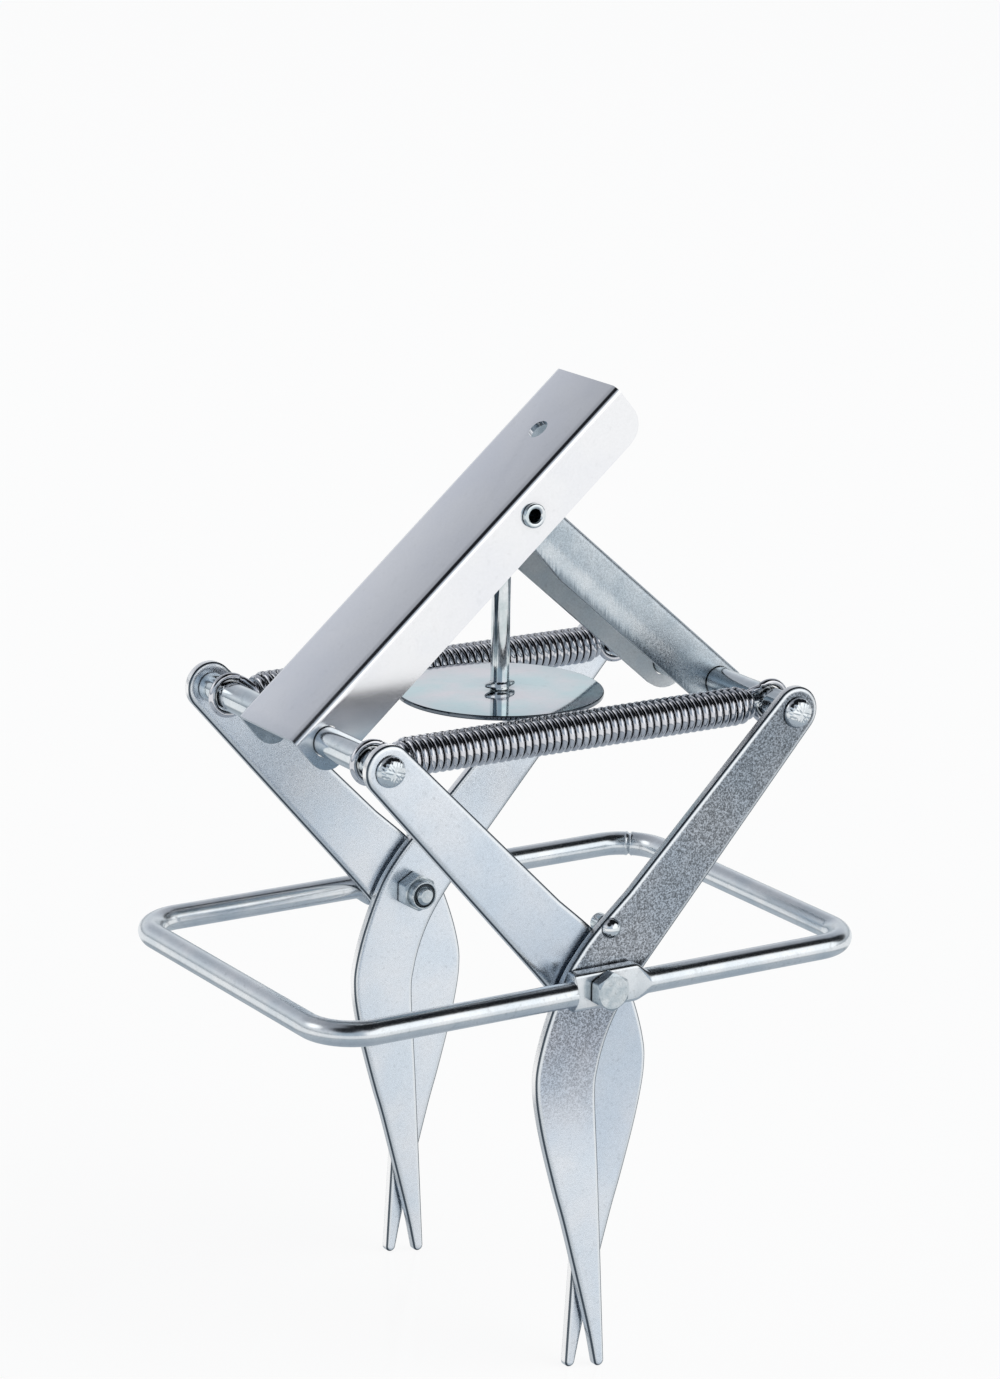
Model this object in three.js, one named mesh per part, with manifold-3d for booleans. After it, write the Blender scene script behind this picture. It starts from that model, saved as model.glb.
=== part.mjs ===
// Scissor mole trap: two pairs of crossed blades on a wire ground frame, drawn shut by two
// coil springs and set by a folding pair of channel levers that carry a hanging trigger pan.
// Millimetres, +Z up. The origin lies on the ground, in the middle of the wire frame.
// X runs along the frame, and the pivot bolts lie along Y.

import * as THREE from 'three';
import { mergeVertices } from 'three/addons/utils/BufferGeometryUtils.js';
import Module from 'manifold-3d';

const wasm = await Module();
wasm.setup();

// Fits shared by all pieces, and how far a cutting shape runs past the face it cuts.
const fitClearance = 0.3;
const plateGap = 0.4;
const cutOverrun = 2;

// Ground frame: one round bar, with two flats forged in it to take the pivot bolts.
const wireDiameter = 8;
const frameLength = 202;
const frameWidth = 135.6;
const frameCornerRadius = 15;
const tabLength = 22.5;
const tabHeight = 10.8;
const tabThickness = 5;
const tabInset = 1.8;
const tabEdgeRadius = 1.2;
const tabStep = 0.8;
const tabSlope = 4;
const cornerSteps = 6;

// Pivot bolts and their locking nuts.
const boltDiameter = 6.35;
const boltLength = 22.2;
const hexAcrossFlats = 11.1;
const hexChamfer = 0.9;
const boltHeadHeight = 4;
const nutHeight = 5;
const nutCollarHeight = 2.8;
const nutCollarDiameter = 9.6;

// Jaw plates: an arm that climbs to the crossbar, and a blade that hangs under the pivot.
const plateThickness = 3.5;
const crossbarReach = 73;
const crossbarRise = 77.65;
const armEndRadius = 8;
const armRootHalfWidth = 10.6;
const armRootDistance = 28;
const bladeBulge = 21.5;
const bladeLength = 128.5;
const shoulderHeight = 17.5;
const bladeTipRadius = 1.8;
const bladeTipOffset = 4.2;

// The two edges of a blade, in shares of its bulge across and of its length down. The first
// edge runs down the bulging side, the second climbs the hollow side to the arm. Round the
// pivot the heights are shares of the shoulder's height instead, whatever the blade's length.
const bulgeShoulderShares = [[0, 1], [-0.3, 0.6], [-0.56, 0.13]];
const bulgeEdgeShares = [
  [-0.83, -0.092], [-0.98, -0.185], [-1, -0.245], [-0.95, -0.31], [-0.83, -0.4], [-0.63, -0.52],
  [-0.44, -0.625], [-0.04, -0.875],
];
const hollowEdgeShares = [
  [0.2, -0.747], [0.11, -0.49], [0.03, -0.285], [0.07, -0.215], [0.18, -0.15], [0.35, -0.088],
];
const hollowShoulderShares = [[0.58, -0.22], [0.86, 0.2]];
const tipTurnAngles = [194, 363];

// Crossbars, riveted over the ends of the arms.
const crossbarDiameter = 9.5;
const tenonDiameter = 7;
const rivetDomeDiameter = 10;
const rivetDomeHeight = 2.8;

// Stop studs, which the crossed arm rests on when the jaws are shut.
const stopDiameter = 6;
const stopTenonDiameter = 4.6;
const stopHeadDiameter = 6.6;
const stopHeadHeight = 2.5;
const stopDistance = 18.6;

// Folding levers: two pressed channels that share a pin above the middle of the trap.
const pinRise = 140.4;
const channelWall = 1.6;
const channelBendRadius = 2.2;
const outerChannelWidth = 35.5;
const outerWebHeight = 9;
const outerFlangeDrop = 9;
const outerHeelLength = 7.9;
const pedalLength = 47.3;
const pedalCornerRadius = 8;
const heelCornerRadius = 7;
const hangingHoleDiameter = 7;
const hangingHoleDistance = 24.3;
const innerFlangeDrop = 9.2;
const innerEarRadius = 5.9;
const innerEarTaper = 24;
const innerEarSetback = 0.5;
const innerWebSetback = 8;

// The pin hole of the inner lever is a slot, because the two levers swing on separate arcs.
const slotTowardBar = 3.3;
const slotPastPin = 1;
const slotTowardWeb = 1.5;

// Tubular rivet through both levers, and the trigger that hangs on it.
const pinDiameter = 6;
const pinBore = 4.2;
const pinRingDiameter = 7.8;
const pinRingLength = 1.2;
const sleeveWall = 1.3;
const stemDiameter = 6;
const panRise = 80;
const panDiameter = 66;
const panThickness = 1.5;
const panTenonDiameter = 4.6;
const earWidth = 11;
const earHeight = 2.5;
const earThickness = 3;
const earTipShare = 0.25;
const earShoulderShare = 0.6;
const peenDiameter = 7.6;
const peenHeight = 1.4;
const peenFlatShare = 0.65;

// Extension springs, hooked over the crossbars.
const springWireDiameter = 2.2;
const springCoilRadius = 5;
const springPitch = 2.63;
const springNeckRadius = 3.6;
const springNeckTurns = 1.75;
const springNeckLength = 1.8;
const springOffset = 44;
const stepsPerCurl = 8;
const springSides = 5;
const hookStartAngle = 60;
const hookEndAngle = 330;
const hookSteps = 20;

// Places and sizes that follow from the ones above.
const wireRadius = wireDiameter / 2;
const pivotHeight = wireRadius;
const runOffset = frameWidth / 2 - wireRadius;
const endOffset = frameLength / 2 - wireRadius;
const tabOffset = runOffset - tabInset;
const tabInnerFace = tabOffset - tabThickness / 2;
const tabOuterFace = tabOffset + tabThickness / 2;
const outerPlateOutside = tabInnerFace - fitClearance;
const outerPlateInside = outerPlateOutside - plateThickness;
const innerPlateOutside = outerPlateInside - plateGap;
const innerPlateInside = innerPlateOutside - plateThickness;
const armAngle = Math.atan2(crossbarRise, crossbarReach);
const leverLength = Math.hypot(crossbarReach, pinRise - crossbarRise);
const leverAngle = Math.atan2(pinRise - crossbarRise, crossbarReach);
const innerChannelWidth = outerChannelWidth - 2 * (channelWall + fitClearance);
const innerWebHeight = outerWebHeight - channelWall - fitClearance;
const boltHole = boltDiameter + 2 * fitClearance;
const crossbarHole = crossbarDiameter + 2 * fitClearance;
const pinHole = pinDiameter + 2 * fitClearance;
const sleeveInnerRadius = pinHole / 2;
const sleeveOuterRadius = sleeveInnerRadius + sleeveWall;
const springWireRadius = springWireDiameter / 2;
const hookRadius = crossbarDiameter / 2 + fitClearance + springWireRadius;

const degrees = Math.PI / 180;

function closedMesh(geometry) {
  // One closed skin: shared corners are merged, and triangles that shrink to a line are dropped.
  const plain = geometry.clone();
  plain.deleteAttribute('normal');
  plain.deleteAttribute('uv');
  const merged = mergeVertices(plain);
  const corners = merged.index.array;
  const kept = [];
  for (let i = 0; i < corners.length; i += 3) {
    const [a, b, c] = corners.slice(i, i + 3);
    if (a !== b && b !== c && c !== a) kept.push(a, b, c);
  }
  merged.setIndex(kept);
  return merged;
}

function toSolid(geometry) {
  const mesh = closedMesh(geometry);
  return new wasm.Manifold(new wasm.Mesh({
    numProp: 3,
    vertProperties: new Float32Array(mesh.attributes.position.array),
    triVerts: new Uint32Array(mesh.index.array),
  }));
}

function fromSolid(solid) {
  const { vertProperties, triVerts } = solid.getMesh();
  const geometry = new THREE.BufferGeometry();
  geometry.setAttribute('position', new THREE.BufferAttribute(vertProperties, 3));
  geometry.setIndex(new THREE.BufferAttribute(triVerts, 1));
  return geometry;
}

function cut(geometry, ...tools) {
  const solid = tools.reduce((rest, tool) => rest.subtract(toSolid(tool)), toSolid(geometry));
  return fromSolid(solid);
}

function join(geometry, ...others) {
  const solid = others.reduce((sum, other) => sum.add(toSolid(other)), toSolid(geometry));
  return fromSolid(solid);
}

function common(geometry, other) {
  return fromSolid(toSolid(geometry).intersect(toSolid(other)));
}

function turned(profile, segments = 24) {
  // A body of revolution about Y, from rows of radius and height that climb its outside.
  const points = profile.map(([radius, height]) => new THREE.Vector2(radius, height));
  return new THREE.LatheGeometry(points, segments);
}

function domeProfile(radius, height, foot, steps = 3) {
  // A spherical cap that stands on the height foot and shrinks to the axis.
  const ball = (radius * radius + height * height) / (2 * height);
  const half = Math.asin(Math.min(1, radius / ball));
  const rows = [];
  for (let i = 0; i <= steps; i += 1) {
    const angle = half * (1 - i / steps);
    rows.push([ball * Math.sin(angle), foot + height - ball * (1 - Math.cos(angle))]);
  }
  rows[steps][0] = 0;
  return rows;
}

function flipped(profile) {
  return profile.map(([radius, height]) => [radius, -height]).reverse();
}

function crossCylinder(diameter, length, x = 0, z = 0) {
  // A round bar along Y through the point (x, z), used to drill cross holes.
  const bar = new THREE.CylinderGeometry(diameter / 2, diameter / 2, length, 24);
  return bar.translate(x, 0, z);
}

function sidePlate(points, thickness) {
  // An outline in X and Z made into a plate, with its front face at Y = -thickness.
  const shape = new THREE.Shape(points.map(([x, z]) => new THREE.Vector2(x, z)));
  const plate = new THREE.ExtrudeGeometry(shape, { depth: thickness, bevelEnabled: false });
  return plate.rotateX(Math.PI / 2);
}

function arcPoints(x, z, radius, from, to, steps) {
  const points = [];
  for (let i = 0; i <= steps; i += 1) {
    const angle = from + (to - from) * i / steps;
    points.push([x + radius * Math.cos(angle), z + radius * Math.sin(angle)]);
  }
  return points;
}

function frameStation(x, y, heading, tab) {
  // One cross-section of the ground frame: four quarter arcs, spread apart where it is a tab.
  const halfThickness = tab ? tabThickness / 2 : wireRadius;
  const halfHeight = tab ? tabHeight / 2 : wireRadius;
  const radius = tab ? tabEdgeRadius : wireRadius;
  const inset = tab ? tabInset : 0;
  const points = [];
  for (let i = 0; i < 16; i += 1) {
    const angle = -(i + 0.5) * 22.5 * degrees;
    const across = Math.sign(Math.cos(angle)) * (halfThickness - radius) + radius * Math.cos(angle);
    const up = Math.sign(Math.sin(angle)) * (halfHeight - radius) + radius * Math.sin(angle);
    const outward = across - inset;
    points.push([x + outward * Math.sin(heading), y - outward * Math.cos(heading), pivotHeight + up]);
  }
  return points;
}

function groundFrame() {
  // Half the ring is laid out from the front tab round two corners, then repeated half a turn on.
  const half = [];
  const halfTab = tabLength / 2;
  half.push(frameStation(-halfTab - tabStep, -runOffset, 0, false));
  half.push(frameStation(-halfTab, -runOffset, 0, true));
  half.push(frameStation(halfTab, -runOffset, 0, true));
  half.push(frameStation(halfTab + tabSlope, -runOffset, 0, false));
  const cornerX = endOffset - frameCornerRadius;
  const cornerY = runOffset - frameCornerRadius;
  for (const [side, start] of [[-1, 0], [1, Math.PI / 2]]) {
    for (let i = 0; i <= cornerSteps; i += 1) {
      const heading = start + i / cornerSteps * Math.PI / 2;
      const x = cornerX + frameCornerRadius * Math.sin(heading);
      const y = side * cornerY - frameCornerRadius * Math.cos(heading);
      half.push(frameStation(x, y, heading, false));
    }
  }
  const turnedHalf = half.map((ring) => ring.map(([x, y, z]) => [-x, -y, z]));
  return sweptTube([...half, ...turnedHalf], true);
}

function sweptTube(rings, closed) {
  // Joins rings of points into one skin. An open tube gets a flat fan at either end.
  const sides = rings[0].length;
  const positions = rings.flat(2);
  const corners = [];
  const last = closed ? rings.length : rings.length - 1;
  for (let i = 0; i < last; i += 1) {
    const next = (i + 1) % rings.length;
    for (let j = 0; j < sides; j += 1) {
      const k = (j + 1) % sides;
      const [a, b] = [i * sides + j, i * sides + k];
      const [c, d] = [next * sides + j, next * sides + k];
      corners.push(a, b, c, b, d, c);
    }
  }
  if (!closed) {
    const end = (rings.length - 1) * sides;
    for (let j = 1; j < sides - 1; j += 1) {
      corners.push(0, j + 1, j, end, end + j, end + j + 1);
    }
  }
  const geometry = new THREE.BufferGeometry();
  geometry.setAttribute('position', new THREE.BufferAttribute(new Float32Array(positions), 3));
  geometry.setIndex(corners);
  return geometry;
}

function hexBody(height, top) {
  // A hexagon along Y whose corners are turned off to a cone at the end that faces out.
  const cornerRadius = hexAcrossFlats / Math.sqrt(3);
  const prism = new THREE.CylinderGeometry(cornerRadius, cornerRadius, height, 6);
  prism.translate(0, top - height / 2, 0);
  const faceRadius = hexAcrossFlats / 2 - hexChamfer / 4;
  const cone = turned([
    [0, top - height - cutOverrun], [cornerRadius, top - height - cutOverrun],
    [cornerRadius, top - hexChamfer], [faceRadius, top], [0, top],
  ], 36);
  return common(prism, cone);
}

function pivotBolt() {
  // The bolt stands on the origin of its head's seat, with its shank along -Y.
  const head = hexBody(boltHeadHeight, boltHeadHeight);
  const radius = boltDiameter / 2;
  const shank = turned([
    [0, -boltLength], [radius - hexChamfer, -boltLength], [radius, hexChamfer - boltLength],
    [radius, boltHeadHeight / 2], [0, boltHeadHeight / 2],
  ]);
  return join(head, shank);
}

function lockingNut() {
  // Its seat is at Y = 0 and it reaches along +Y to the round collar that grips the thread.
  const collarRadius = nutCollarDiameter / 2;
  const end = nutHeight + nutCollarHeight;
  const collar = turned([
    [0, nutHeight / 2], [collarRadius, nutHeight / 2], [collarRadius, end - hexChamfer],
    [collarRadius - hexChamfer, end], [0, end],
  ]);
  const body = join(hexBody(nutHeight, nutHeight), collar);
  return cut(body, crossCylinder(boltHole, 2 * (end + cutOverrun)));
}

function armPoint(along, across) {
  const [ux, uz] = [Math.cos(armAngle), Math.sin(armAngle)];
  return [along * ux - across * uz, along * uz + across * ux];
}

const alongBlade = (shares) => shares.map(([x, z]) => [x * bladeBulge, z * bladeLength]);
const roundPivot = (shares) => shares.map(([x, z]) => [x * bladeBulge, z * shoulderHeight]);

function edgeCurve(points) {
  return new THREE.SplineCurve(points.map(([x, z]) => new THREE.Vector2(x, z)));
}

const tipCentre = [bladeTipOffset, bladeTipRadius - bladeLength];
const tipTurn = arcPoints(...tipCentre, bladeTipRadius, ...tipTurnAngles.map((a) => a * degrees), 6);
const bulgeEdge = edgeCurve([
  armPoint(armRootDistance, armRootHalfWidth), ...roundPivot(bulgeShoulderShares),
  ...alongBlade(bulgeEdgeShares), tipTurn[0],
]);
const hollowEdge = edgeCurve([
  tipTurn[6], ...alongBlade(hollowEdgeShares), ...roundPivot(hollowShoulderShares),
  armPoint(armRootDistance, -armRootHalfWidth),
]);

function stopPlace() {
  // The stud touches the crossed plate, which is the same outline mirrored in X.
  const share = stopDistance / bulgeEdge.getLength();
  const edge = bulgeEdge.getPointAt(share);
  const tangent = bulgeEdge.getTangentAt(share);
  const reach = stopDiameter / 2 + fitClearance;
  return [-edge.x - tangent.y * reach, edge.y - tangent.x * reach];
}

function jawPlate(holdsStop) {
  // The arm's round end, the bulging edge down to the tip, and the hollow edge back up.
  const armLength = Math.hypot(crossbarReach, crossbarRise);
  const taper = Math.asin((armRootHalfWidth - armEndRadius) / (armLength - armRootDistance));
  const armEnd = arcPoints(
    crossbarReach, crossbarRise, armEndRadius,
    armAngle - Math.PI / 2 + taper, armAngle + Math.PI / 2 - taper, 12,
  );
  const bulge = bulgeEdge.getPoints(36).map((p) => [p.x, p.y]);
  const hollow = hollowEdge.getPoints(27).map((p) => [p.x, p.y]);
  const outline = [...armEnd, ...bulge, ...tipTurn.slice(1, 6), ...hollow];
  const plate = sidePlate(outline, plateThickness);
  const drill = 2 * (plateThickness + cutOverrun);
  const holes = [
    crossCylinder(boltHole, drill),
    crossCylinder(tenonDiameter + 2 * fitClearance, drill, crossbarReach, crossbarRise),
  ];
  if (holdsStop) holes.push(crossCylinder(stopTenonDiameter + 2 * fitClearance, drill, ...stopPlace()));
  return cut(plate, ...holes);
}

function crossbar() {
  // Turned bar along Y with a tenon at either end, hammered to a dome outside the arms. It
  // meets the outer plate at -Y and the inner plate at +Y.
  const bar = crossbarDiameter / 2;
  const tenon = tenonDiameter / 2;
  const front = outerPlateInside - fitClearance;
  const back = innerPlateInside - fitClearance;
  const frontDome = outerPlateOutside + fitClearance;
  const backDome = innerPlateOutside + fitClearance;
  return turned([
    ...flipped(domeProfile(rivetDomeDiameter / 2, rivetDomeHeight, frontDome)),
    [tenon, -frontDome], [tenon, -front], [bar, -front], [bar, back], [tenon, back],
    [tenon, backDome],
    ...domeProfile(rivetDomeDiameter / 2, rivetDomeHeight, backDome),
  ]);
}

function stopStud() {
  // Head in front of the plate that holds it, tenon through, and the stop beside the crossed plate.
  const stop = stopDiameter / 2;
  const tenon = stopTenonDiameter / 2;
  const headFoot = outerPlateOutside + fitClearance;
  const stopFace = outerPlateInside - fitClearance;
  return turned([
    ...flipped(domeProfile(stopHeadDiameter / 2, stopHeadHeight, headFoot)),
    [tenon, -headFoot], [tenon, -stopFace], [stop, -stopFace],
    [stop, -innerPlateInside], [0, -innerPlateInside],
  ]);
}

function channel(width, webHeight, flangeDrop, sideOutline) {
  // A bent U section run along X, trimmed by the lever's outline seen from the side.
  const half = width / 2;
  const bend = channelBendRadius;
  const inside = bend - channelWall;
  const section = [
    [half, -flangeDrop - cutOverrun],
    ...arcPoints(half - bend, webHeight - bend, bend, 0, Math.PI / 2, 4),
    ...arcPoints(bend - half, webHeight - bend, bend, Math.PI / 2, Math.PI, 4),
    [-half, -flangeDrop - cutOverrun], [channelWall - half, -flangeDrop - cutOverrun],
    ...arcPoints(bend - half, webHeight - bend, inside, Math.PI, Math.PI / 2, 4),
    ...arcPoints(half - bend, webHeight - bend, inside, Math.PI / 2, 0, 4),
    [half - channelWall, -flangeDrop - cutOverrun],
  ];
  const shape = new THREE.Shape(section.map(([y, z]) => new THREE.Vector2(y, z)));
  const length = 2 * leverLength + 2 * pedalLength;
  const run = new THREE.ExtrudeGeometry(shape, { depth: length, bevelEnabled: false });
  run.translate(0, 0, -length / 2);
  const alongX = new THREE.Matrix4().makeBasis(
    new THREE.Vector3(0, 1, 0), new THREE.Vector3(0, 0, 1), new THREE.Vector3(1, 0, 0),
  );
  run.applyMatrix4(alongX);
  const side = sidePlate(sideOutline, width + 2 * cutOverrun);
  side.translate(0, half + cutOverrun, 0);
  return common(run, side);
}

function outerLever() {
  // Bar hole at X = 0, pin hole at the lever's length, and the pedal beyond it.
  const end = leverLength + pedalLength;
  const heel = -outerHeelLength;
  const outline = [
    [end, outerWebHeight + cutOverrun], [heel, outerWebHeight + cutOverrun],
    ...arcPoints(
      heel + heelCornerRadius, heelCornerRadius - outerFlangeDrop, heelCornerRadius,
      Math.PI, 1.5 * Math.PI, 6,
    ),
    ...arcPoints(
      end - pedalCornerRadius, pedalCornerRadius - outerFlangeDrop, pedalCornerRadius,
      1.5 * Math.PI, 2 * Math.PI, 6,
    ),
  ];
  const body = channel(outerChannelWidth, outerWebHeight, outerFlangeDrop, outline);
  const across = outerChannelWidth + 2 * cutOverrun;
  const hangingHole = new THREE.CylinderGeometry(
    hangingHoleDiameter / 2, hangingHoleDiameter / 2, outerWebHeight + cutOverrun, 24,
  );
  hangingHole.rotateX(Math.PI / 2);
  hangingHole.translate(leverLength + hangingHoleDistance, 0, outerWebHeight);
  return cut(
    body, crossCylinder(crossbarHole, across), crossCylinder(pinHole, across, leverLength), hangingHole,
  );
}

function innerLever() {
  // Round at the bar, tapered to ears at the pin, with the web cut back clear of the sleeve.
  const heelTop = Math.asin(innerWebHeight / innerFlangeDrop);
  const outline = [
    [leverLength - innerWebSetback, innerWebHeight + cutOverrun],
    [-innerFlangeDrop * Math.cos(heelTop), innerWebHeight + cutOverrun],
    ...arcPoints(0, 0, innerFlangeDrop, Math.PI - heelTop, 1.5 * Math.PI, 10),
    [leverLength - innerEarTaper, -innerFlangeDrop],
    ...arcPoints(leverLength - innerEarSetback, 0, innerEarRadius, -Math.PI / 2, Math.PI / 2, 12),
    [leverLength - innerWebSetback, innerWebHeight],
  ];
  const body = channel(innerChannelWidth, innerWebHeight, innerFlangeDrop, outline);
  const across = innerChannelWidth + 2 * cutOverrun;
  const slot = sidePlate([
    ...arcPoints(leverLength + slotPastPin, 0, pinHole / 2, -Math.PI / 2, 0, 6),
    ...arcPoints(leverLength + slotPastPin, slotTowardWeb, pinHole / 2, 0, Math.PI / 2, 6),
    ...arcPoints(leverLength - slotTowardBar, slotTowardWeb, pinHole / 2, Math.PI / 2, Math.PI, 6),
    ...arcPoints(leverLength - slotTowardBar, 0, pinHole / 2, Math.PI, 1.5 * Math.PI, 6),
  ], across);
  slot.translate(0, across / 2, 0);
  const betweenEars = new THREE.BoxGeometry(
    2 * innerWebSetback, innerChannelWidth - 2 * channelWall, 2 * innerFlangeDrop,
  );
  betweenEars.translate(leverLength, 0, 0);
  return cut(body, crossCylinder(crossbarHole, across), slot, betweenEars);
}

function hingePin() {
  // A tubular rivet whose ends are rolled out to rings against the outer lever.
  const seat = outerChannelWidth / 2 + fitClearance;
  const end = seat + pinRingLength;
  const [bore, body, ring] = [pinBore / 2, pinDiameter / 2, pinRingDiameter / 2];
  const lip = pinRingLength / 2;
  return turned([
    [bore, 0], [bore, -end + lip], [bore + lip / 2, -end], [ring - lip, -end], [ring, -end + lip],
    [ring, -seat], [body, -seat], [body, seat], [ring, seat], [ring, end - lip],
    [ring - lip, end], [bore + lip / 2, end], [bore, end - lip], [bore, 0],
  ]);
}

function triggerSleeve() {
  const half = innerChannelWidth / 2 - channelWall - fitClearance;
  return turned([
    [sleeveInnerRadius, -half], [sleeveOuterRadius, -half],
    [sleeveOuterRadius, half], [sleeveInnerRadius, half], [sleeveInnerRadius, -half],
  ]);
}

function triggerStem() {
  // Hangs from the sleeve at Z = 0: coped to it, pinched to ears over the pan, peened below.
  const drop = pinRise - panRise;
  const radius = stemDiameter / 2;
  const tenon = panTenonDiameter / 2;
  const panTop = -drop + panThickness / 2 + fitClearance;
  const panFoot = -drop - panThickness / 2 - fitClearance;
  const rod = turned([
    [0, panFoot - peenHeight], [peenDiameter / 2 * peenFlatShare, panFoot - peenHeight],
    [peenDiameter / 2, panFoot - peenHeight / 2], [peenDiameter / 2, panFoot], [tenon, panFoot],
    [tenon, panTop], [radius, panTop], [radius, 0], [0, 0],
  ]).rotateX(Math.PI / 2);
  const [tip, shoulder] = [earHeight * earTipShare, earHeight * earShoulderShare];
  const ears = sidePlate([
    [-earWidth / 2, panTop + tip], [tip - earWidth / 2, panTop],
    [earWidth / 2 - tip, panTop], [earWidth / 2, panTop + tip],
    [earWidth / 2 - tip, panTop + shoulder], [radius, panTop + earHeight],
    [-radius, panTop + earHeight], [tip - earWidth / 2, panTop + shoulder],
  ], earThickness).translate(0, earThickness / 2, 0);
  const cope = crossCylinder(2 * (sleeveOuterRadius + fitClearance), stemDiameter + 2 * cutOverrun);
  return cut(join(rod, ears), cope);
}

function triggerPan() {
  // The seat ring splits each face where the peened foot ends, so the rest of it lies open.
  const hole = panTenonDiameter / 2 + fitClearance;
  const seat = peenDiameter / 2 + fitClearance;
  const [rim, half] = [panDiameter / 2, panThickness / 2];
  return turned([
    [hole, -half], [seat, -half], [rim, -half], [rim, half], [seat, half], [hole, half], [hole, -half],
  ], 48).rotateX(Math.PI / 2);
}

function springPath() {
  // Centre line from one hook to the other, along X through the origin. The coil has a whole
  // number of half turns, so both wires leave it over the top.
  const coilHalf = crossbarReach - hookRadius - springNeckLength;
  const turns = Math.round(2 * coilHalf / springPitch - 0.5) + 0.5;
  const steps = Math.round(turns * stepsPerCurl);
  const coil = [];
  for (let i = 0; i <= steps; i += 1) {
    const turn = turns * i / steps;
    const fromEnd = Math.min(turn, turns - turn);
    const ease = THREE.MathUtils.smoothstep(fromEnd, 0, springNeckTurns);
    const radius = springNeckRadius + (springCoilRadius - springNeckRadius) * ease;
    const angle = (turn - turns) * 2 * Math.PI;
    coil.push(new THREE.Vector3(
      coilHalf * (2 * i / steps - 1), radius * Math.cos(angle), radius * Math.sin(angle),
    ));
  }
  const hook = (side) => {
    // The ring round the crossbar, then a short straight end.
    const points = [];
    for (let i = 0; i <= hookSteps; i += 1) {
      const angle = (hookStartAngle + (hookEndAngle - hookStartAngle) * i / hookSteps) * degrees;
      points.push(new THREE.Vector3(
        side * (crossbarReach - hookRadius * Math.cos(angle)), 0, hookRadius * Math.sin(angle),
      ));
    }
    const end = hookEndAngle * degrees;
    const along = new THREE.Vector3(side * Math.sin(end), 0, Math.cos(end));
    points.push(points[hookSteps].clone().addScaledVector(along, springWireDiameter));
    return points;
  };
  const neck = (side, hookPoints) => {
    // A smooth bend from the last turn of the coil to the top of the ring.
    const [end, before] = side > 0 ? [coil[steps], coil[steps - 1]] : [coil[0], coil[1]];
    const leave = end.clone().sub(before).normalize();
    const arrive = hookPoints[1].clone().sub(hookPoints[0]).normalize();
    const pull = end.distanceTo(hookPoints[0]) / 3;
    const curve = new THREE.CubicBezierCurve3(
      end, end.clone().addScaledVector(leave, pull),
      hookPoints[0].clone().addScaledVector(arrive, -pull), hookPoints[0],
    );
    return curve.getPoints(4).slice(1, 4);
  };
  const [left, right] = [hook(-1), hook(1)];
  const leftEnd = [...neck(-1, left), ...left].reverse();
  return [...leftEnd, ...coil, ...neck(1, right), ...right];
}

function tubeAlong(path, radius, sides) {
  // A tube of flat-sided rings, carried along the path without twist.
  const rings = [];
  const tangents = path.map((point, i) => {
    const [before, after] = [path[Math.max(0, i - 1)], path[Math.min(path.length - 1, i + 1)]];
    return after.clone().sub(before).normalize();
  });
  let normal = new THREE.Vector3(0, 1, 0);
  path.forEach((point, i) => {
    normal = normal.clone().addScaledVector(tangents[i], -normal.dot(tangents[i])).normalize();
    const binormal = new THREE.Vector3().crossVectors(tangents[i], normal);
    const ring = [];
    for (let j = 0; j < sides; j += 1) {
      const angle = j / sides * 2 * Math.PI;
      const spoke = point.clone().addScaledVector(normal, radius * Math.cos(angle));
      ring.push(spoke.addScaledVector(binormal, radius * Math.sin(angle)).toArray());
    }
    rings.push(ring);
  });
  return sweptTube(rings, false);
}

function leastGap(path, diameter) {
  // The closest that two stretches of the wire come, skin to skin, past half a coil apart.
  const dense = [];
  for (let i = 0; i < path.length - 1; i += 1) {
    for (let j = 0; j < 3; j += 1) dense.push(path[i].clone().lerp(path[i + 1], j / 3));
  }
  const lengths = [0];
  for (let i = 1; i < dense.length; i += 1) {
    lengths.push(lengths[i - 1] + dense[i].distanceTo(dense[i - 1]));
  }
  const apart = Math.PI * springNeckRadius;
  let least = Infinity;
  for (let i = 0; i < dense.length; i += 1) {
    for (let j = i + 1; j < dense.length; j += 1) {
      if (lengths[j] - lengths[i] > apart) least = Math.min(least, dense[i].distanceTo(dense[j]));
    }
  }
  return least - diameter;
}

function springTube() {
  const path = springPath();
  console.log('least gap of a spring to itself, mm', leastGap(path, springWireDiameter).toFixed(2));
  return tubeAlong(path, springWireRadius, springSides);
}

const finishes = {
  brightZinc: { color: 0xc9ced6, roughness: 0.32, metalness: 0.95 },
  grainyZinc: { color: 0xb2b7bd, roughness: 0.45, metalness: 0.9 },
  pressedZinc: { color: 0xaaafba, roughness: 0.4, metalness: 0.9 },
  polishedZinc: { color: 0xd6dade, roughness: 0.15, metalness: 1 },
  springSteel: { color: 0x9ea1a6, roughness: 0.2, metalness: 1 },
};

function piece(name, geometry, finish, x = 0, y = 0, z = 0) {
  const mesh = new THREE.Mesh(geometry, new THREE.MeshStandardMaterial(finishes[finish]));
  mesh.name = name;
  mesh.position.set(x, y, z);
  return mesh;
}

function jawPair(names, holdsStops) {
  // Outer plate in front, inner plate behind, and the crossbar between their arms.
  const jaws = new THREE.Group();
  jaws.add(
    piece(names.outerPlate, jawPlate(holdsStops), 'brightZinc', 0, -outerPlateInside),
    piece(names.innerPlate, jawPlate(holdsStops), 'brightZinc', 0, innerPlateOutside),
    piece(names.crossbar, crossbar(), 'brightZinc', crossbarReach, 0, crossbarRise),
  );
  return jaws;
}

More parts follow.
